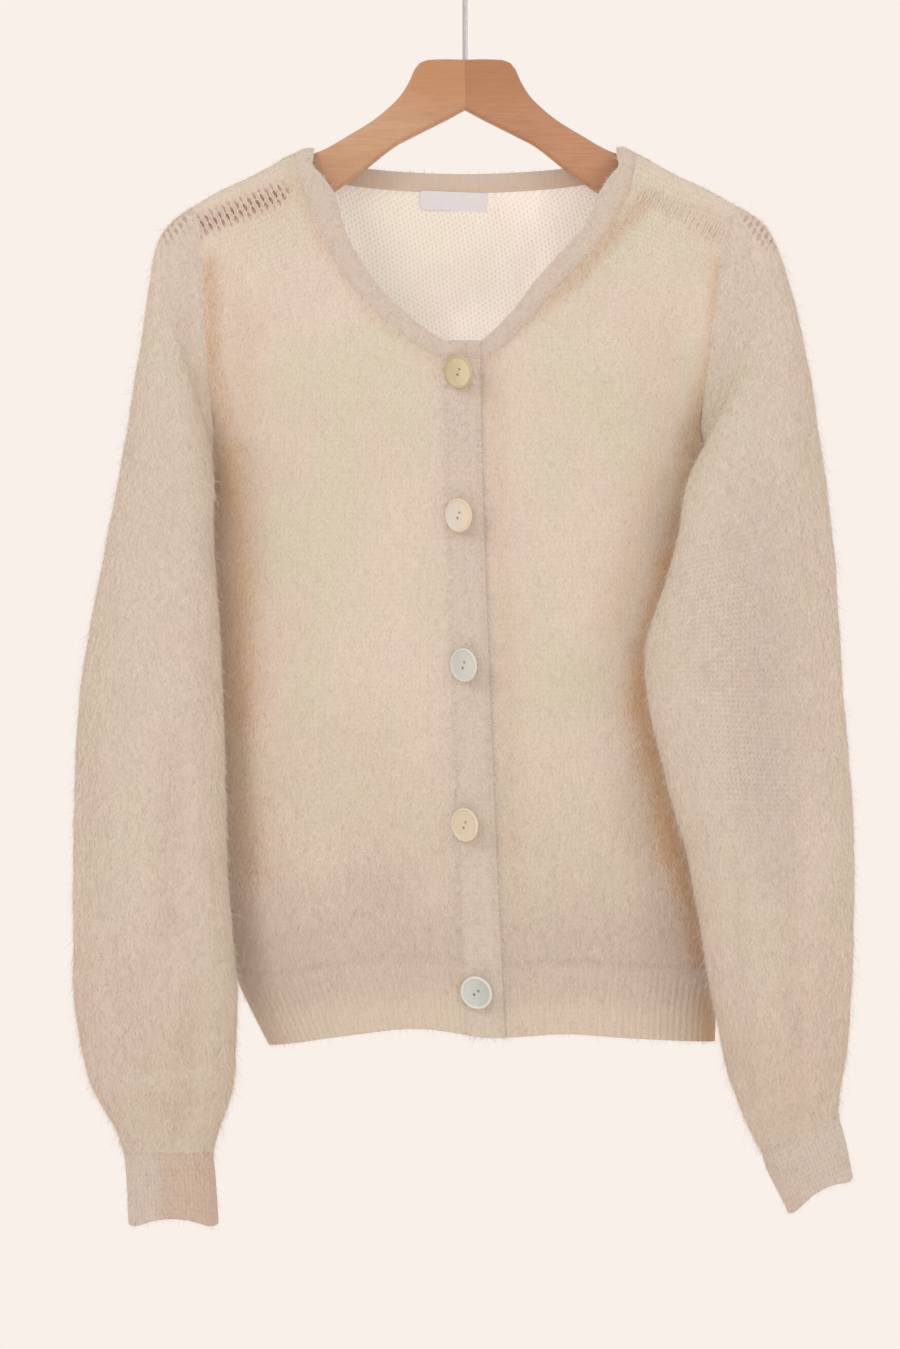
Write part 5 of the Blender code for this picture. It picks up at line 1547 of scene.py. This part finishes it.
def brush(name, cloths, nap, wisps, slot, index):
    """Grow the pile of one piece of cloth, short nap and long wisps, as one piece."""
    pile = bpy.context.scene.cardigan_pile
    ground = pile_ground(name, cloths)
    values = {key.title(): finishes()["fibre_" + key] for key in FIBRES}
    meshes = []
    for group, density, length, thickness, lift, roll in (
            (nap, pile.nap, pile.nap_length, pile.nap_thickness, pile.lift * 0.5, 0.3),
            (wisps, pile.density, pile.length, pile.thickness, pile.lift, 0.6)):
        if group is wisps:                              # long ones catch the light
            values.update({"Grey": values["Lilac"], "Brown": values["Beige"]})
        values.update({"Density": density * 1e4, "Length": length, "Thickness": thickness,
                       "Lift": lift, "Roll": roll, "Seed": pile.seed + 2 * index + len(meshes)})
        meshes.append(grown(ground, group, values, name + "_pile"))
    bpy.data.meshes.remove(ground.data)
    return dress(new_object(name + "_pile", joined(name + "_pile", meshes)), slot)


# --- Buttons, label and hanger ---

def smooth_mesh(name, work, material, sharp=SHARP):
    """A mesh, in metres, from bmesh in millimetres."""
    bmesh.ops.recalc_face_normals(work, faces=work.faces)
    bmesh.ops.scale(work, vec=(MM, MM, MM), verts=work.verts)
    mesh = bpy.data.meshes.new(name)
    work.to_mesh(mesh)
    work.free()
    mesh.materials.append(material)
    mesh.shade_smooth()
    mesh.set_sharp_from_angle(angle=sharp)
    return mesh


def bridge(work, rings):
    """Faces between each ring of corners and the next; a ring of one corner is a point."""
    for low, high in zip(rings, rings[1:]):
        for i in range(len(low)):
            j = (i + 1) % len(low)
            work.faces.new(dict.fromkeys((low[i], low[j], high[j], high[i])))


def lathe(profile, sides):
    """A closed body of revolution about Z from (radius, height) pairs, back to front."""
    work = bmesh.new()
    rings = []
    for radius, height in profile:
        if radius == 0.0:
            rings.append([work.verts.new((0, 0, height))] * sides)
            continue
        angles = (2 * math.pi * i / sides for i in range(sides))
        rings.append([work.verts.new((radius * math.cos(a), radius * math.sin(a), height))
                      for a in angles])
    bridge(work, rings)
    return work


def round_profile():
    """A shell button's outline: a domed back, a rounded rim and a dished face."""
    r, thick, edge = BUTTON_RADIUS, BUTTON_THICK, BUTTON_EDGE
    outline = [(0.0, 0.0), (r * 0.35, 0.06), (r * 0.7, 0.25), (r * 0.88, 0.72), (r * 0.96, 1.1)]
    for i in range(9):                                  # round the outer edge to the rim's top
        angle = math.pi / 2 * i / 8
        outline.append((r - 0.9 + 0.9 * math.cos(angle), edge + (thick - edge) * math.sin(angle)))
    for i in range(1, 7):                               # down into the dish
        t = i / 6
        outline.append((r - 1.0 - 1.3 * t, thick - 0.7 * smooth(t)))
    outline += [(r * 0.5, thick - 0.78), (r * 0.25, thick - 0.8), (0.0, thick - 0.8)]
    return outline


def button_place(index):
    """Where a button stands, as a matrix in millimetres."""
    x, z = BUTTONS["x"][index], BUTTONS["z"][index]
    tilt, lean = math.radians(BUTTONS["tilt"][index]), math.radians(BUTTONS["lean"][index])
    reach = BUTTON_RADIUS * math.sin(tilt) - BUTTON_EDGE * math.cos(tilt)
    stand_off = WALL / 2 + SEAM_GAP + reach + BUTTON_RADIUS * math.sin(abs(lean)) * 0.4
    stand_off += BUTTONS["lift"][index]
    aim = (Matrix.Rotation(-tilt, 4, "Z") @ Matrix.Rotation(-lean, 4, "X")
           @ Matrix.Rotation(math.radians(90), 4, "X"))
    return Matrix.Translation((x, cloth_y(x, z, -1) - stand_off, z)) @ aim


def carve(blank, cutters):
    """The mesh of an object with others cut out of it; all of them are used up."""
    for cutter in cutters:
        cut = blank.modifiers.new("cut", "BOOLEAN")
        cut.object, cut.operation, cut.solver = cutter, "DIFFERENCE", "EXACT"
    mesh = evaluated(blank)
    for used in [blank] + cutters:
        bpy.data.objects.remove(used)
    return mesh


def rod(start, end, radius, sides):
    """A closed round rod between two points."""
    start, end = Vector(start), Vector(end)
    length = (end - start).length
    work = lathe([(0.0, 0.0), (radius, 0.0), (radius, length), (0.0, length)], sides)
    turn = (end - start).to_track_quat("Z", "Y").to_matrix().to_4x4()
    bmesh.ops.transform(work, matrix=Matrix.Translation(start) @ turn, verts=work.verts)
    return work


def rounded(points, material, name, radius, sides=10, step=0.8):
    """A closed tube through points, with rounded ends; the step is in radii."""
    path = finer(np.array([tuple(p) for p in points]), radius * step)
    ahead = np.gradient(path, axis=0)
    ahead /= np.linalg.norm(ahead, axis=1, keepdims=True)
    caps = [(math.cos(angle), math.sin(angle)) for angle in (math.pi / 2 * k / 4 for k in range(4))]
    stations = [(path[0] - ahead[0] * radius * c, ahead[0], radius * s) for c, s in caps]
    stations += [(p, d, radius) for p, d in zip(path, ahead)]
    stations += [(path[-1] + ahead[-1] * radius * c, ahead[-1], radius * s) for c, s in caps[::-1]]
    work = bmesh.new()
    rings = []
    side = Vector(ahead[0]).orthogonal().normalized()
    for centre, way, r in stations:
        way = Vector(way)
        side = (side - way * side.dot(way)).normalized()
        other = way.cross(side)
        if r == 0.0:
            rings.append([work.verts.new(centre)] * sides)
            continue
        rings.append([work.verts.new(Vector(centre) + (side * math.cos(a) + other * math.sin(a)) * r)
                      for a in (2 * math.pi * i / sides for i in range(sides))])
    bridge(work, rings)
    return smooth_mesh(name, work, material)


def joined(name, meshes):
    """One mesh out of several that have the same materials in the same order."""
    work = bmesh.new()
    for mesh in meshes:
        work.from_mesh(mesh)
    made = bpy.data.meshes.new(name)
    work.to_mesh(made)
    work.free()
    for material in meshes[0].materials:
        made.materials.append(material)
    for mesh in meshes:
        bpy.data.meshes.remove(mesh)
    return made


def strand_path(side, column, knit):
    """One of the shoulders' strands, winding between the slots to its two sides."""
    across = {-1: -103.5 + 0.075 * (column * knit.slot_pitch - 188.7), 1: -106.2}[side]
    path = []
    for i in range(9):
        off = across + 9.0 * (i / 4 - 1.0) * (0.75 + 0.25 * math.sin(column * 2.4))
        wind = math.sin(2 * math.pi * (off / knit.slot_height + column * SLOT_STEP + 0.3))
        along = column * knit.slot_pitch + 0.3 * wind
        x, z = along * SLOPE[0] + off * SLOPE[1], off * SLOPE[0] - along * SLOPE[1]
        sink = 1.0 - 1.3 * smooth(4.0 - abs(i - 4))
        path.append((side * x, cloth_y(side * x, z, -1) - WALL / 2 + sink, z))
    return path


def strands_mesh(material):
    """The strands that cross the open stitches of both shoulders."""
    knit = bpy.context.scene.cardigan_knit
    made = []
    for side, first, last in ((-1, 189.0, 251.0), (1, 184.0, 244.0)):
        column = math.ceil(first / knit.slot_pitch)
        while column * knit.slot_pitch < last:
            made.append(rounded(strand_path(side, column, knit), material, "strand", 0.27, 5, 4.5))
            column += 1
    return joined("shoulder_strands", made)


def pearl(name, place, left, right, rim):
    """Polished shell, its colour turning from left to right, with a band round the rim; the turn is partly
    painted shading, and the band a rim painted lighter or darker as the button takes the light.
    """
    made = Finish(name, Coat_Weight=0.35, Coat_Roughness=0.12, Specular_IOR_Level=0.45)
    local = made.add("ShaderNodeMapping", {"vector_type": "TEXTURE"}, {
        "Vector": made.place(), "Location": place.translation * MM,
        "Rotation": place.to_euler(), "Scale": (BUTTON_RADIUS * MM,) * 3})
    across, up = made.axes(local, "XY")
    off = (across * across + up * up) ** 0.5
    cloud = made.noise(6.0, 2.0, distortion=1.2)
    fine = made.noise(1.6, 2.0, shift=(0.1, 0.4, 0.2), stretch=(3.0, 1.0, 1.0))
    colour = made.layered(left, ((across + (cloud - 0.5) * 0.8).above(-0.6, 0.8), right))
    colour = made.times(colour, 0.95 + fine * 0.1)
    # The rim band: painted light on some buttons and painted shade on others.
    colour = made.layered(colour, (off.above(0.8, 0.93) * 0.8, rim))
    return made.finish(colour, fine, 0.03, roughness=0.3 + fine * 0.12)


def satin(name, colour):
    """The label's woven satin: fine upright ribs and small steps across them."""
    made = Finish(name, Roughness=0.5, Sheen_Weight=0.2, Specular_IOR_Level=0.45)
    across, up = made.knit()
    thread = across / 0.42
    ribs = thread.wave()
    steps = (up / 0.3 + thread.floor() * 0.5).wave()
    soft = made.noise(6.0, 2.0)
    tone = made.times(colour, 0.93 + ribs * 0.035 + steps * 0.02 + soft * 0.04)
    return made.finish(tone, ribs * 0.6 + steps * 0.4, 0.05)


def wood(name, light, head, dark, lean):
    """Lacquered wood with long grain that follows the arm, redder in the head."""
    made = Finish(name, Coat_Weight=0.25, Coat_Roughness=0.25, Specular_IOR_Level=0.4)
    along = {"Rotation": (0.0, lean, 0.0)}
    long_grain = made.texture({**along, "Scale": (60.0, 500.0, 900.0)}, 1.0, 3.0, 0.8)
    pores = made.texture({**along, "Scale": (250.0, 2500.0, 3800.0)}, 1.0, 2.0)
    broad = made.noise(30.0, 2.0, stretch=(2.0, 1.0, 1.0))
    height, = made.axes(made.place(), "Z")
    colour = made.layered(light, (height.above(-0.135, -0.1), head),
                          (long_grain.above(0.3, 0.8) * 0.5, dark), (broad.above(0.4, 0.75) * 0.3, dark))
    colour = made.times(colour, 1.0 - pores.above(0.6, 0.75) * 0.08)
    return made.finish(colour, pores * 0.5 + long_grain * 0.5, 0.08, roughness=0.38 + pores * 0.15)


def wire_steel(name):
    """Drawn and polished wire, with faint lines along it."""
    made = Finish(name, Metallic=1.0)
    lines = made.noise(0.6, 2.0, stretch=(1.0, 1.0, 30.0))
    colour = made.layered(srgb(158, 158, 160), (lines, srgb(202, 202, 204)))
    return made.finish(colour, lines, 0.01, roughness=0.22 + lines * 0.14)


def arm_mesh(name, side, material):
    """Half of the hanger through sections along its arm, its edges rounded."""
    first, last = ARM["across"][0], ARM["across"][-1]
    stations = sorted({round(x, 2) for x in np.arange(first, last, ARM_STEP)} | set(ARM["across"]))
    stations[0] = ARM_START
    work = bmesh.new()
    rings = []
    for x in stations:
        top, bottom, y, thick = (read(ARM, key, x) for key in ("top", "bottom", "y", "thick"))
        high, deep, middle = (top - bottom) / 2, thick / 2, (top + bottom) / 2
        bevel = min(ARM_BEVEL, high * 0.8, deep * 0.8)
        narrow = 1 - 0.12 * max(0.0, 1.0 - (last - x) / 1.5)
        ring = []
        for i in range(24):
            quarter, part = divmod(i, 6)
            angle = math.pi / 2 * quarter + math.pi / 2 * part / 5
            aside = (deep - bevel) * (1 if quarter in (0, 3) else -1) + bevel * math.cos(angle)
            above = (high - bevel) * (1 if quarter in (0, 1) else -1) + bevel * math.sin(angle)
            ring.append(work.verts.new((side * x, y + aside * narrow, middle + above * narrow)))
        rings.append(ring)
    bridge(work, rings)
    work.faces.new(rings[0])
    work.faces.new(rings[-1][::-1])
    blank = new_object(name, smooth_mesh(name, work, material, SHARP_WOOD))
    bore = rod((0, 0, HEAD_TOP - BORE_DEPTH), (0, 0, HEAD_TOP + BORE_DEPTH), WIRE / 2 + SEAM_GAP, 32)
    cutter = new_object("bore", smooth_mesh("bore", bore, material))
    mesh = carve(blank, [cutter])
    mesh.set_sharp_from_angle(angle=SHARP_WOOD)
    return mesh


def hook_path():
    """The middle of the hook's wire, from its tip over the crown and down the shank."""
    radius = HOOK_RADIUS + WIRE / 2
    centre = Vector((0, 0, -HOOK_RADIUS))
    path = []
    for i in range(37):
        angle = math.radians(mix(HOOK_TIP, HOOK_LEAN, i / 36))
        path.append(centre + Vector((math.cos(angle), 0, math.sin(angle))) * radius)
    shank_top = Vector((0, 0, SHANK_TOP))
    start, lean = path[-1], Vector((math.sin(angle), 0, -math.cos(angle)))
    reach = (start - shank_top).length
    for i in range(1, 13):
        t = i / 12
        a, b = start + lean * (reach * 0.45), shank_top + Vector((0, 0, reach * 0.4))
        path.append(start * (1 - t) ** 3 + a * 3 * t * (1 - t) ** 2
                    + b * 3 * t ** 2 * (1 - t) + shank_top * t ** 3)
    bottom = HEAD_TOP - BORE_DEPTH + SEAM_GAP + WIRE / 2
    path += [Vector((0, 0, mix(shank_top.z, bottom, i / 6))) for i in range(1, 7)]
    return path


def label_mesh(material):
    """The label: a rounded, slightly bowed strip of satin."""
    off = WALL / 2 + SEAM_GAP + LABEL_WALL / 2
    middle_x = (LABEL_RIGHT + LABEL_LEFT) / 2
    half = (LABEL_LEFT - LABEL_RIGHT) / 2
    tall = LABEL_TOP - LABEL_BOTTOM
    shares = [0.0, 0.02, 0.06, 0.13] + [0.2 + 0.6 * i / 8 for i in range(9)] + [0.87, 0.94, 0.98, 1.0]
    rows = []
    for share in shares:
        rim = max(0.0, LABEL_CORNER - min(share, 1 - share) * tall) / LABEL_CORNER
        width = half - LABEL_CORNER * (1 - math.sqrt(1 - rim * rim))
        row = []
        for c in range(LABEL_COLUMNS + 1):
            x = middle_x + width * (2 * c / LABEL_COLUMNS - 1)
            z = mix(LABEL_TOP, LABEL_BOTTOM, share) + LABEL_TILT * ((x - LABEL_RIGHT) / (2 * half) - 0.5)
            bow = 0.5 * math.sin(math.pi * share) * (0.6 + 0.4 * math.cos(c * 0.35))
            row.append((x, cloth_y(x, z, 1) - off - bow, z))
        rows.append(row)
    cloth = Cloth(rows, step=60.0, across=60.0, flip=True, thick=LABEL_WALL)
    cloth.normals[:] = (0.0, -1.0, 0.0)
    cloth.knit = cloth.points[..., (0, 2)]
    quads, _ = cloth.faces()
    return mesh_from("neck_label", cloth.skins(), quads, (material,), knit=cloth.corners(quads))


# --- Sizes and colours a user may change ---

def colour(name, description, *screen):
    """A colour that a user may change; its default is given as 0 to 255 on a screen."""
    return FloatVectorProperty(name=name, description=description, default=srgb(*screen),
                               subtype="COLOR", size=3, min=0.0, max=1.0)


def number(name, description, default, low, high, **more):
    return FloatProperty(name=name, description=description, default=default, min=low, max=high, **more)


class CardiganKnit(bpy.types.PropertyGroup):
    """The knitted cloth."""

    wale: number("Stitch width", "Width of a stitch on the inside, in mm", 2.7, 1.0, 10.0)
    row: number("Stitch height", "Height of a row of stitches, in mm", 3.4, 1.0, 10.0)
    slot_pitch: number("Open stitch pitch", "Between the shoulders' open stitches, in mm", 4.3, 1.0, 20.0)
    slot_height: number("Open stitch height", "Between their rows, in mm", 6.5, 1.0, 30.0)
    rib_pitch: number("Rib pitch", "Between the ribs of the hem, in mm", 4.6, 2.0, 12.0)
    rib_height: number("Rib height", "How far a rib stands up, in mm", 0.5, 0.0, 2.0)
    cuff_ribs: IntProperty(name="Cuff ribs", description="Ribs round a cuff", default=56, min=20, max=90)
    cream: colour("Cream", "The cloth's own colour", 218, 205, 192)
    green_cast: colour("Green cast", "Colour of its greener patches", 211, 204, 185)
    pink_cast: colour("Pink cast", "Colour of its pinker patches", 215, 199, 187)
    lilac: colour("Lilac", "Colour of the greyer cloth of sleeves and bands", 204, 193, 185)
    # Painted shade: the colour laid in the valleys between body and sleeves, in the sleeves' troughs and
    # beside the bands.
    deep: colour("Deep", "Colour in the valleys between body and sleeves", 178, 145, 113)
    # Painted shade in the hollows between the stitches.
    pit: colour("Pit", "Colour between the stitches", 190, 170, 150)
    # Painted shade inside the shoulders' open stitches, warm from the wood behind them.
    gap: colour("Gap", "Colour inside the shoulders' open stitches", 160, 132, 114)
    wash: colour("Wash", "Colour of the cloth round the open stitches", 206, 184, 172)
    warm_glow: colour("Warm glow", "Light through the cloth in the valleys", 246, 196, 144)
    # Painted light: the inside is laid much paler than the face, for the light that comes through the cloth
    # from behind.
    inside: colour("Inside", "Colour of the inside", 246, 240, 234)
    glow: colour("Glow", "Colour of the light that comes through the cloth", 255, 251, 249)
    rib: colour("Rib", "Colour of bands and ribbing", 212, 199, 187)


class CardiganPile(bpy.types.PropertyGroup):
    """The brushed pile."""

    nap: number("Nap", "Short fibres to a square centimetre", 60.0, 0.0, 100.0)
    nap_length: number("Nap length", "Length of a short fibre", 0.0052, 0.0, 0.02, unit="LENGTH")
    nap_thickness: number("Nap thickness", "Width of a short fibre at its root", 0.00022, 0.00005, 0.002,
                          unit="LENGTH")
    density: number("Wisps", "Long fibres to a square centimetre", 8.0, 0.0, 40.0)
    length: number("Wisp length", "Length of a long fibre", 0.0085, 0.0, 0.02, unit="LENGTH")
    thickness: number("Wisp thickness", "Width of a long fibre at its root", 0.00015, 0.00005, 0.002,
                      unit="LENGTH")
    lift: number("Lift", "How steeply the fibres stand off the cloth", 0.26, 0.0, 3.0)
    seed: IntProperty(name="Seed", description="Start of the random choices", default=7, min=0)
    beige: colour("Beige fibre", "Colour of the beige fibres", 221, 210, 196)
    pale: colour("Pale fibre", "Colour of the pale fibres", 230, 221, 209)
    pink: colour("Pink fibre", "Colour of the pink fibres", 223, 210, 200)
    lilac: colour("Lilac fibre", "Colour of the lilac fibres", 215, 205, 197)
    grey: colour("Grey fibre", "Colour of the grey fibres", 205, 195, 187)
    # Painted shade: the colour of the fibres chosen in the valleys.
    brown: colour("Brown fibre", "Colour of the fibres in the valleys", 189, 156, 123)


class CardiganTrim(bpy.types.PropertyGroup):
    """Buttons, label and hanger."""

    label: colour("Label", "Colour of the neck label", 225, 222, 228)
    right_arm: colour("Right arm", "Colour of the right half's arm", 197, 157, 124)
    right_head: colour("Right head", "Colour of the right half's head", 187, 138, 97)
    right_grain: colour("Right grain", "Colour of the right half's grain", 172, 122, 88)
    left_arm: colour("Left arm", "Colour of the left half's arm", 187, 139, 105)
    left_head: colour("Left head", "Colour of the left half's head", 176, 124, 88)
    left_grain: colour("Left grain", "Colour of the left half's grain", 159, 107, 73)


class CardiganStage(bpy.types.PropertyGroup):
    """Light, backdrop and camera."""

    backdrop: colour("Backdrop", "Colour of the background", 249, 240, 233)
    key_power: number("Key light", "Power of the key light in watts", 17.0, 0.0, 500.0, unit="POWER")
    fill_power: number("Fill light", "Power of the fill light in watts", 8.0, 0.0, 500.0, unit="POWER")
    focal_length: number("Focal length", "Of the camera, in mm", 161.7, 20.0, 400.0)


# --- Operators ---

def plain_knit(name, *solids):
    """Knit a piece of plain cloth in the place of its solids."""
    made = finishes()
    dress(shell(name, made["mohair_face"], made["mohair_inside"]), "mohair_knit", *solids)


def ribbed_knit(name):
    """Knit a piece of ribbing in the place of its solid."""
    rib = finishes()["mohair_ribbing"]
    dress(shell(name, rib, rib), "mohair_rib", name)


class CARDIGAN_OT_body(bpy.types.Operator):
    """Knit the fronts and the back"""

    bl_idname = "cardigan.body"
    bl_label = "Knit the body"

    def execute(self, context):
        for name in ("front_right", "front_left", "back"):
            plain_knit(name, name)
        strands = strands_mesh(finishes()["fibre_pale"])
        dress(new_object("shoulder_strands", strands), "mohair_knit")
        return {"FINISHED"}


class CARDIGAN_OT_sleeves(bpy.types.Operator):
    """Knit the sleeves and their cuffs"""

    bl_idname = "cardigan.sleeves"
    bl_label = "Knit the sleeves"

    def execute(self, context):
        for side in SIDES.values():
            name = "sleeve_" + side
            plain_knit(name, *(name + "_" + part for part in ("upper", "middle", "lower")))
            ribbed_knit("cuff_" + side)
        return {"FINISHED"}


class CARDIGAN_OT_bands(bpy.types.Operator):
    """Knit the hem ribbing, the front bands and the neckband"""

    bl_idname = "cardigan.bands"
    bl_label = "Knit the ribs and bands"

    def execute(self, context):
        for name in ("hem_rib_back", "hem_rib_front_right", "hem_rib_front_left",
                     "buttonhole_band", "button_band", "neckband"):
            ribbed_knit(name)
        return {"FINISHED"}


class CARDIGAN_OT_pile(bpy.types.Operator):
    """Brush a pile of fibres out of the cloth"""

    bl_idname = "cardigan.pile"
    bl_label = "Brush the pile"

    def execute(self, context):
        nap = pile_group("Nap", SHORT_BLADES, SHORT_ROWS)
        wisps = pile_group("Wisps", LONG_BLADES, LONG_ROWS)
        for index, (name, cloths) in enumerate(wardrobe().items()):
            piece = bpy.data.objects.get(name + "_knit")
            if not piece:
                raise RuntimeError("%s has to be knitted before it is brushed" % name)
            brush(name, cloths, nap, wisps, piece["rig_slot"], index)
        return {"FINISHED"}


class CARDIGAN_OT_sizes(bpy.types.Operator):
    """Look up every piece of cloth and the label, and each one's pile; no sizes are stated"""

    bl_idname = "cardigan.sizes"
    bl_label = "State the cloth's flat sizes"

    def execute(self, context):
        objects = bpy.data.objects
        for name in list(wardrobe()) + ["neck_label"]:
            piece = objects.get(name + "_knit") or objects[name + "_satin"]
            objects.get(name + "_pile")
        return {"FINISHED"}



def button_mesh(name, place, away, finish):
    """A button, turned, drilled twice and put in its place."""
    blank = new_object("blank", smooth_mesh(name, lathe(round_profile(), 64), finish, SHARP_SHELL))
    cutters = []
    for middle in (-away, away):
        hole = rod(middle + Vector((0, 0, -2)), middle + Vector((0, 0, 5)), BUTTON_HOLE, 24)
        cutters.append(new_object("hole", smooth_mesh("hole", hole, finish)))
    mesh = carve(blank, cutters)
    mesh.name = name
    mesh.transform(Matrix.Scale(MM, 4) @ place @ Matrix.Scale(1 / MM, 4))
    mesh.set_sharp_from_angle(angle=SHARP_SHELL)
    return mesh


def button_threads(index, place, away, material):
    """The thread from a button's two holes down to the cloth."""
    foot = Vector((BUTTONS["x"][index] + 0.4, 0.0, BUTTONS["z"][index]))
    foot.y = cloth_y(foot.x, foot.z, -1) - WALL / 2 + 0.4
    made = []
    for sign in (-1, 1):
        top = place @ (away * sign * 0.8 + Vector((0, 0, 0.7)))
        end = foot + (place.to_3x3() @ away) * sign * 0.35
        made.append(rounded([top, top.lerp(end, 0.5), end], material, "thread", 0.42))
    return made


class CARDIGAN_OT_buttons(bpy.types.Operator):
    """Turn the shell buttons and sew them on"""

    bl_idname = "cardigan.buttons"
    bl_label = "Sew on the buttons"

    def execute(self, context):
        thread = fibre("button_thread", srgb(228, 214, 190))
        threads = []
        for index, turn in enumerate(BUTTONS["turn"]):
            name = "button_%d" % (index + 1)
            turn = math.radians(turn)
            away = Vector((math.cos(turn), math.sin(turn), 0.0)) * BUTTON_HOLE_OFFSET
            place = button_place(index)
            finish = pearl(name, place, *(srgb(*SHELLS[key][index]) for key in SHELLS))
            piece = new_object(name + "_shell", button_mesh(name, place, away, finish))
            dress(piece, "cream_button" if index in CREAM_BUTTONS else "pearl_button", name)
            threads += button_threads(index, place, away, thread)
        dress(new_object("button_threads", joined("button_threads", threads)), "cream_button")
        return {"FINISHED"}


class CARDIGAN_OT_label(bpy.types.Operator):
    """Weave the bare neck label and stitch it down"""

    bl_idname = "cardigan.label"
    bl_label = "Sew in the label"

    def execute(self, context):
        cloth = satin("label_satin", context.scene.cardigan_trim.label)
        dress(new_object("neck_label_satin", label_mesh(cloth)), "label_cloth", "neck_label")
        return {"FINISHED"}


class CARDIGAN_OT_hanger(bpy.types.Operator):
    """Carve the hanger and bend its hook"""

    bl_idname = "cardigan.hanger"
    bl_label = "Make the hanger"

    def execute(self, context):
        trim = context.scene.cardigan_trim
        for side, name in SIDES.items():
            colours = (getattr(trim, "%s_%s" % (name, key)) for key in ("arm", "head", "grain"))
            finish = wood("wood_" + name, *colours, GRAIN_LEAN * side)
            mesh = arm_mesh("hanger_half_" + name, side, finish)
            dress(new_object("hanger_arm_" + name, mesh), "hanger_wood", "hanger_half_" + name)
        hook = rounded(hook_path(), wire_steel("hook_wire"), "hanger_hook", WIRE / 2, 24)
        dress(new_object("hanger_wire", hook), "hook_steel", "hanger_hook")
        return {"FINISHED"}


class CARDIGAN_OT_stage(bpy.types.Operator):
    """Set up the floor, the light and the camera"""

    bl_idname = "cardigan.stage"
    bl_label = "Set the stage"

    def execute(self, context):
        scene, stage = context.scene, context.scene.cardigan_stage
        scene.view_settings.view_transform = "Standard"
        world = bpy.data.worlds.new("pale_room")
        world.use_nodes = True
        world.node_tree.nodes["Background"].inputs["Color"].default_value = (*stage.backdrop, 1.0)
        scene.world = world
        self.floor(stage.backdrop)
        for name, place in LIGHTS.items():
            self.soft_light(name, getattr(stage, name + "_power"), place)
        self.camera(stage.focal_length)
        return {"FINISHED"}

    def floor(self, colour):
        """A pale round floor, well below the hem."""
        work = bmesh.new()
        bmesh.ops.create_circle(work, cap_ends=True, segments=96, radius=FLOOR_RADIUS)
        bmesh.ops.translate(work, vec=(0, 0, FLOOR_HEIGHT), verts=work.verts)
        paint = Finish("floor_paint", Roughness=0.9)
        paint.set("Base Color", paint.times(colour, 0.96 + paint.noise(400.0, 2.0) * 0.04))
        new_object("floor", smooth_mesh("floor", work, paint.material))

    def soft_light(self, name, power, place):
        """A large soft light, aimed at the garment's middle."""
        light = bpy.data.lights.new(name, "AREA")
        light.shape = "DISK"
        light.size = LIGHT_SIZE
        light.energy = power
        lamp = new_object(name, light)
        lamp.location = place
        aim = Vector(LIGHTS_AIM) - lamp.location
        lamp.rotation_euler = aim.to_track_quat("-Z", "Y").to_euler()

    def camera(self, focal_length):
        """Straight on, at the height of the garment's middle."""
        camera = bpy.data.cameras.new("camera")
        camera.lens = focal_length
        camera.sensor_width = 36.0
        camera.dof.use_dof = False
        made = new_object("camera", camera)
        made.location = CAMERA_PLACE
        made.rotation_euler = (math.radians(90), 0.0, 0.0)
        bpy.context.scene.camera = made


class CARDIGAN_PT_panel(bpy.types.Panel):
    """Lists the steps in the order in which they are run"""

    bl_label = "Mohair Cardigan"
    bl_idname = "CARDIGAN_PT_panel"
    bl_space_type = "VIEW_3D"
    bl_region_type = "UI"
    bl_category = "Cardigan"

    def draw(self, context):
        for operator in OPERATORS:
            self.layout.operator(operator.bl_idname)
        for name in SETTINGS:
            box = self.layout.box()
            group = getattr(context.scene, name)
            for key in group.bl_rna.properties.keys():
                if key not in ("rna_type", "name"):
                    box.prop(group, key)


SETTINGS = {
    "cardigan_knit": CardiganKnit, "cardigan_pile": CardiganPile,
    "cardigan_trim": CardiganTrim, "cardigan_stage": CardiganStage,
}
OPERATORS = (
    CARDIGAN_OT_stage, CARDIGAN_OT_hanger, CARDIGAN_OT_body, CARDIGAN_OT_sleeves,
    CARDIGAN_OT_bands, CARDIGAN_OT_label, CARDIGAN_OT_buttons, CARDIGAN_OT_pile,
    CARDIGAN_OT_sizes,
)
CLASSES = tuple(SETTINGS.values()) + OPERATORS + (CARDIGAN_PT_panel,)


def register():
    for cls in CLASSES:
        bpy.utils.register_class(cls)
    for name, group in SETTINGS.items():
        setattr(bpy.types.Scene, name, PointerProperty(type=group))


def unregister():
    for name in SETTINGS:
        delattr(bpy.types.Scene, name)
    for cls in reversed(CLASSES):
        bpy.utils.unregister_class(cls)


def main():
    register()
    for operator in OPERATORS:
        group, name = operator.bl_idname.split(".")
        getattr(getattr(bpy.ops, group), name)()


if __name__ == "__main__":
    main()
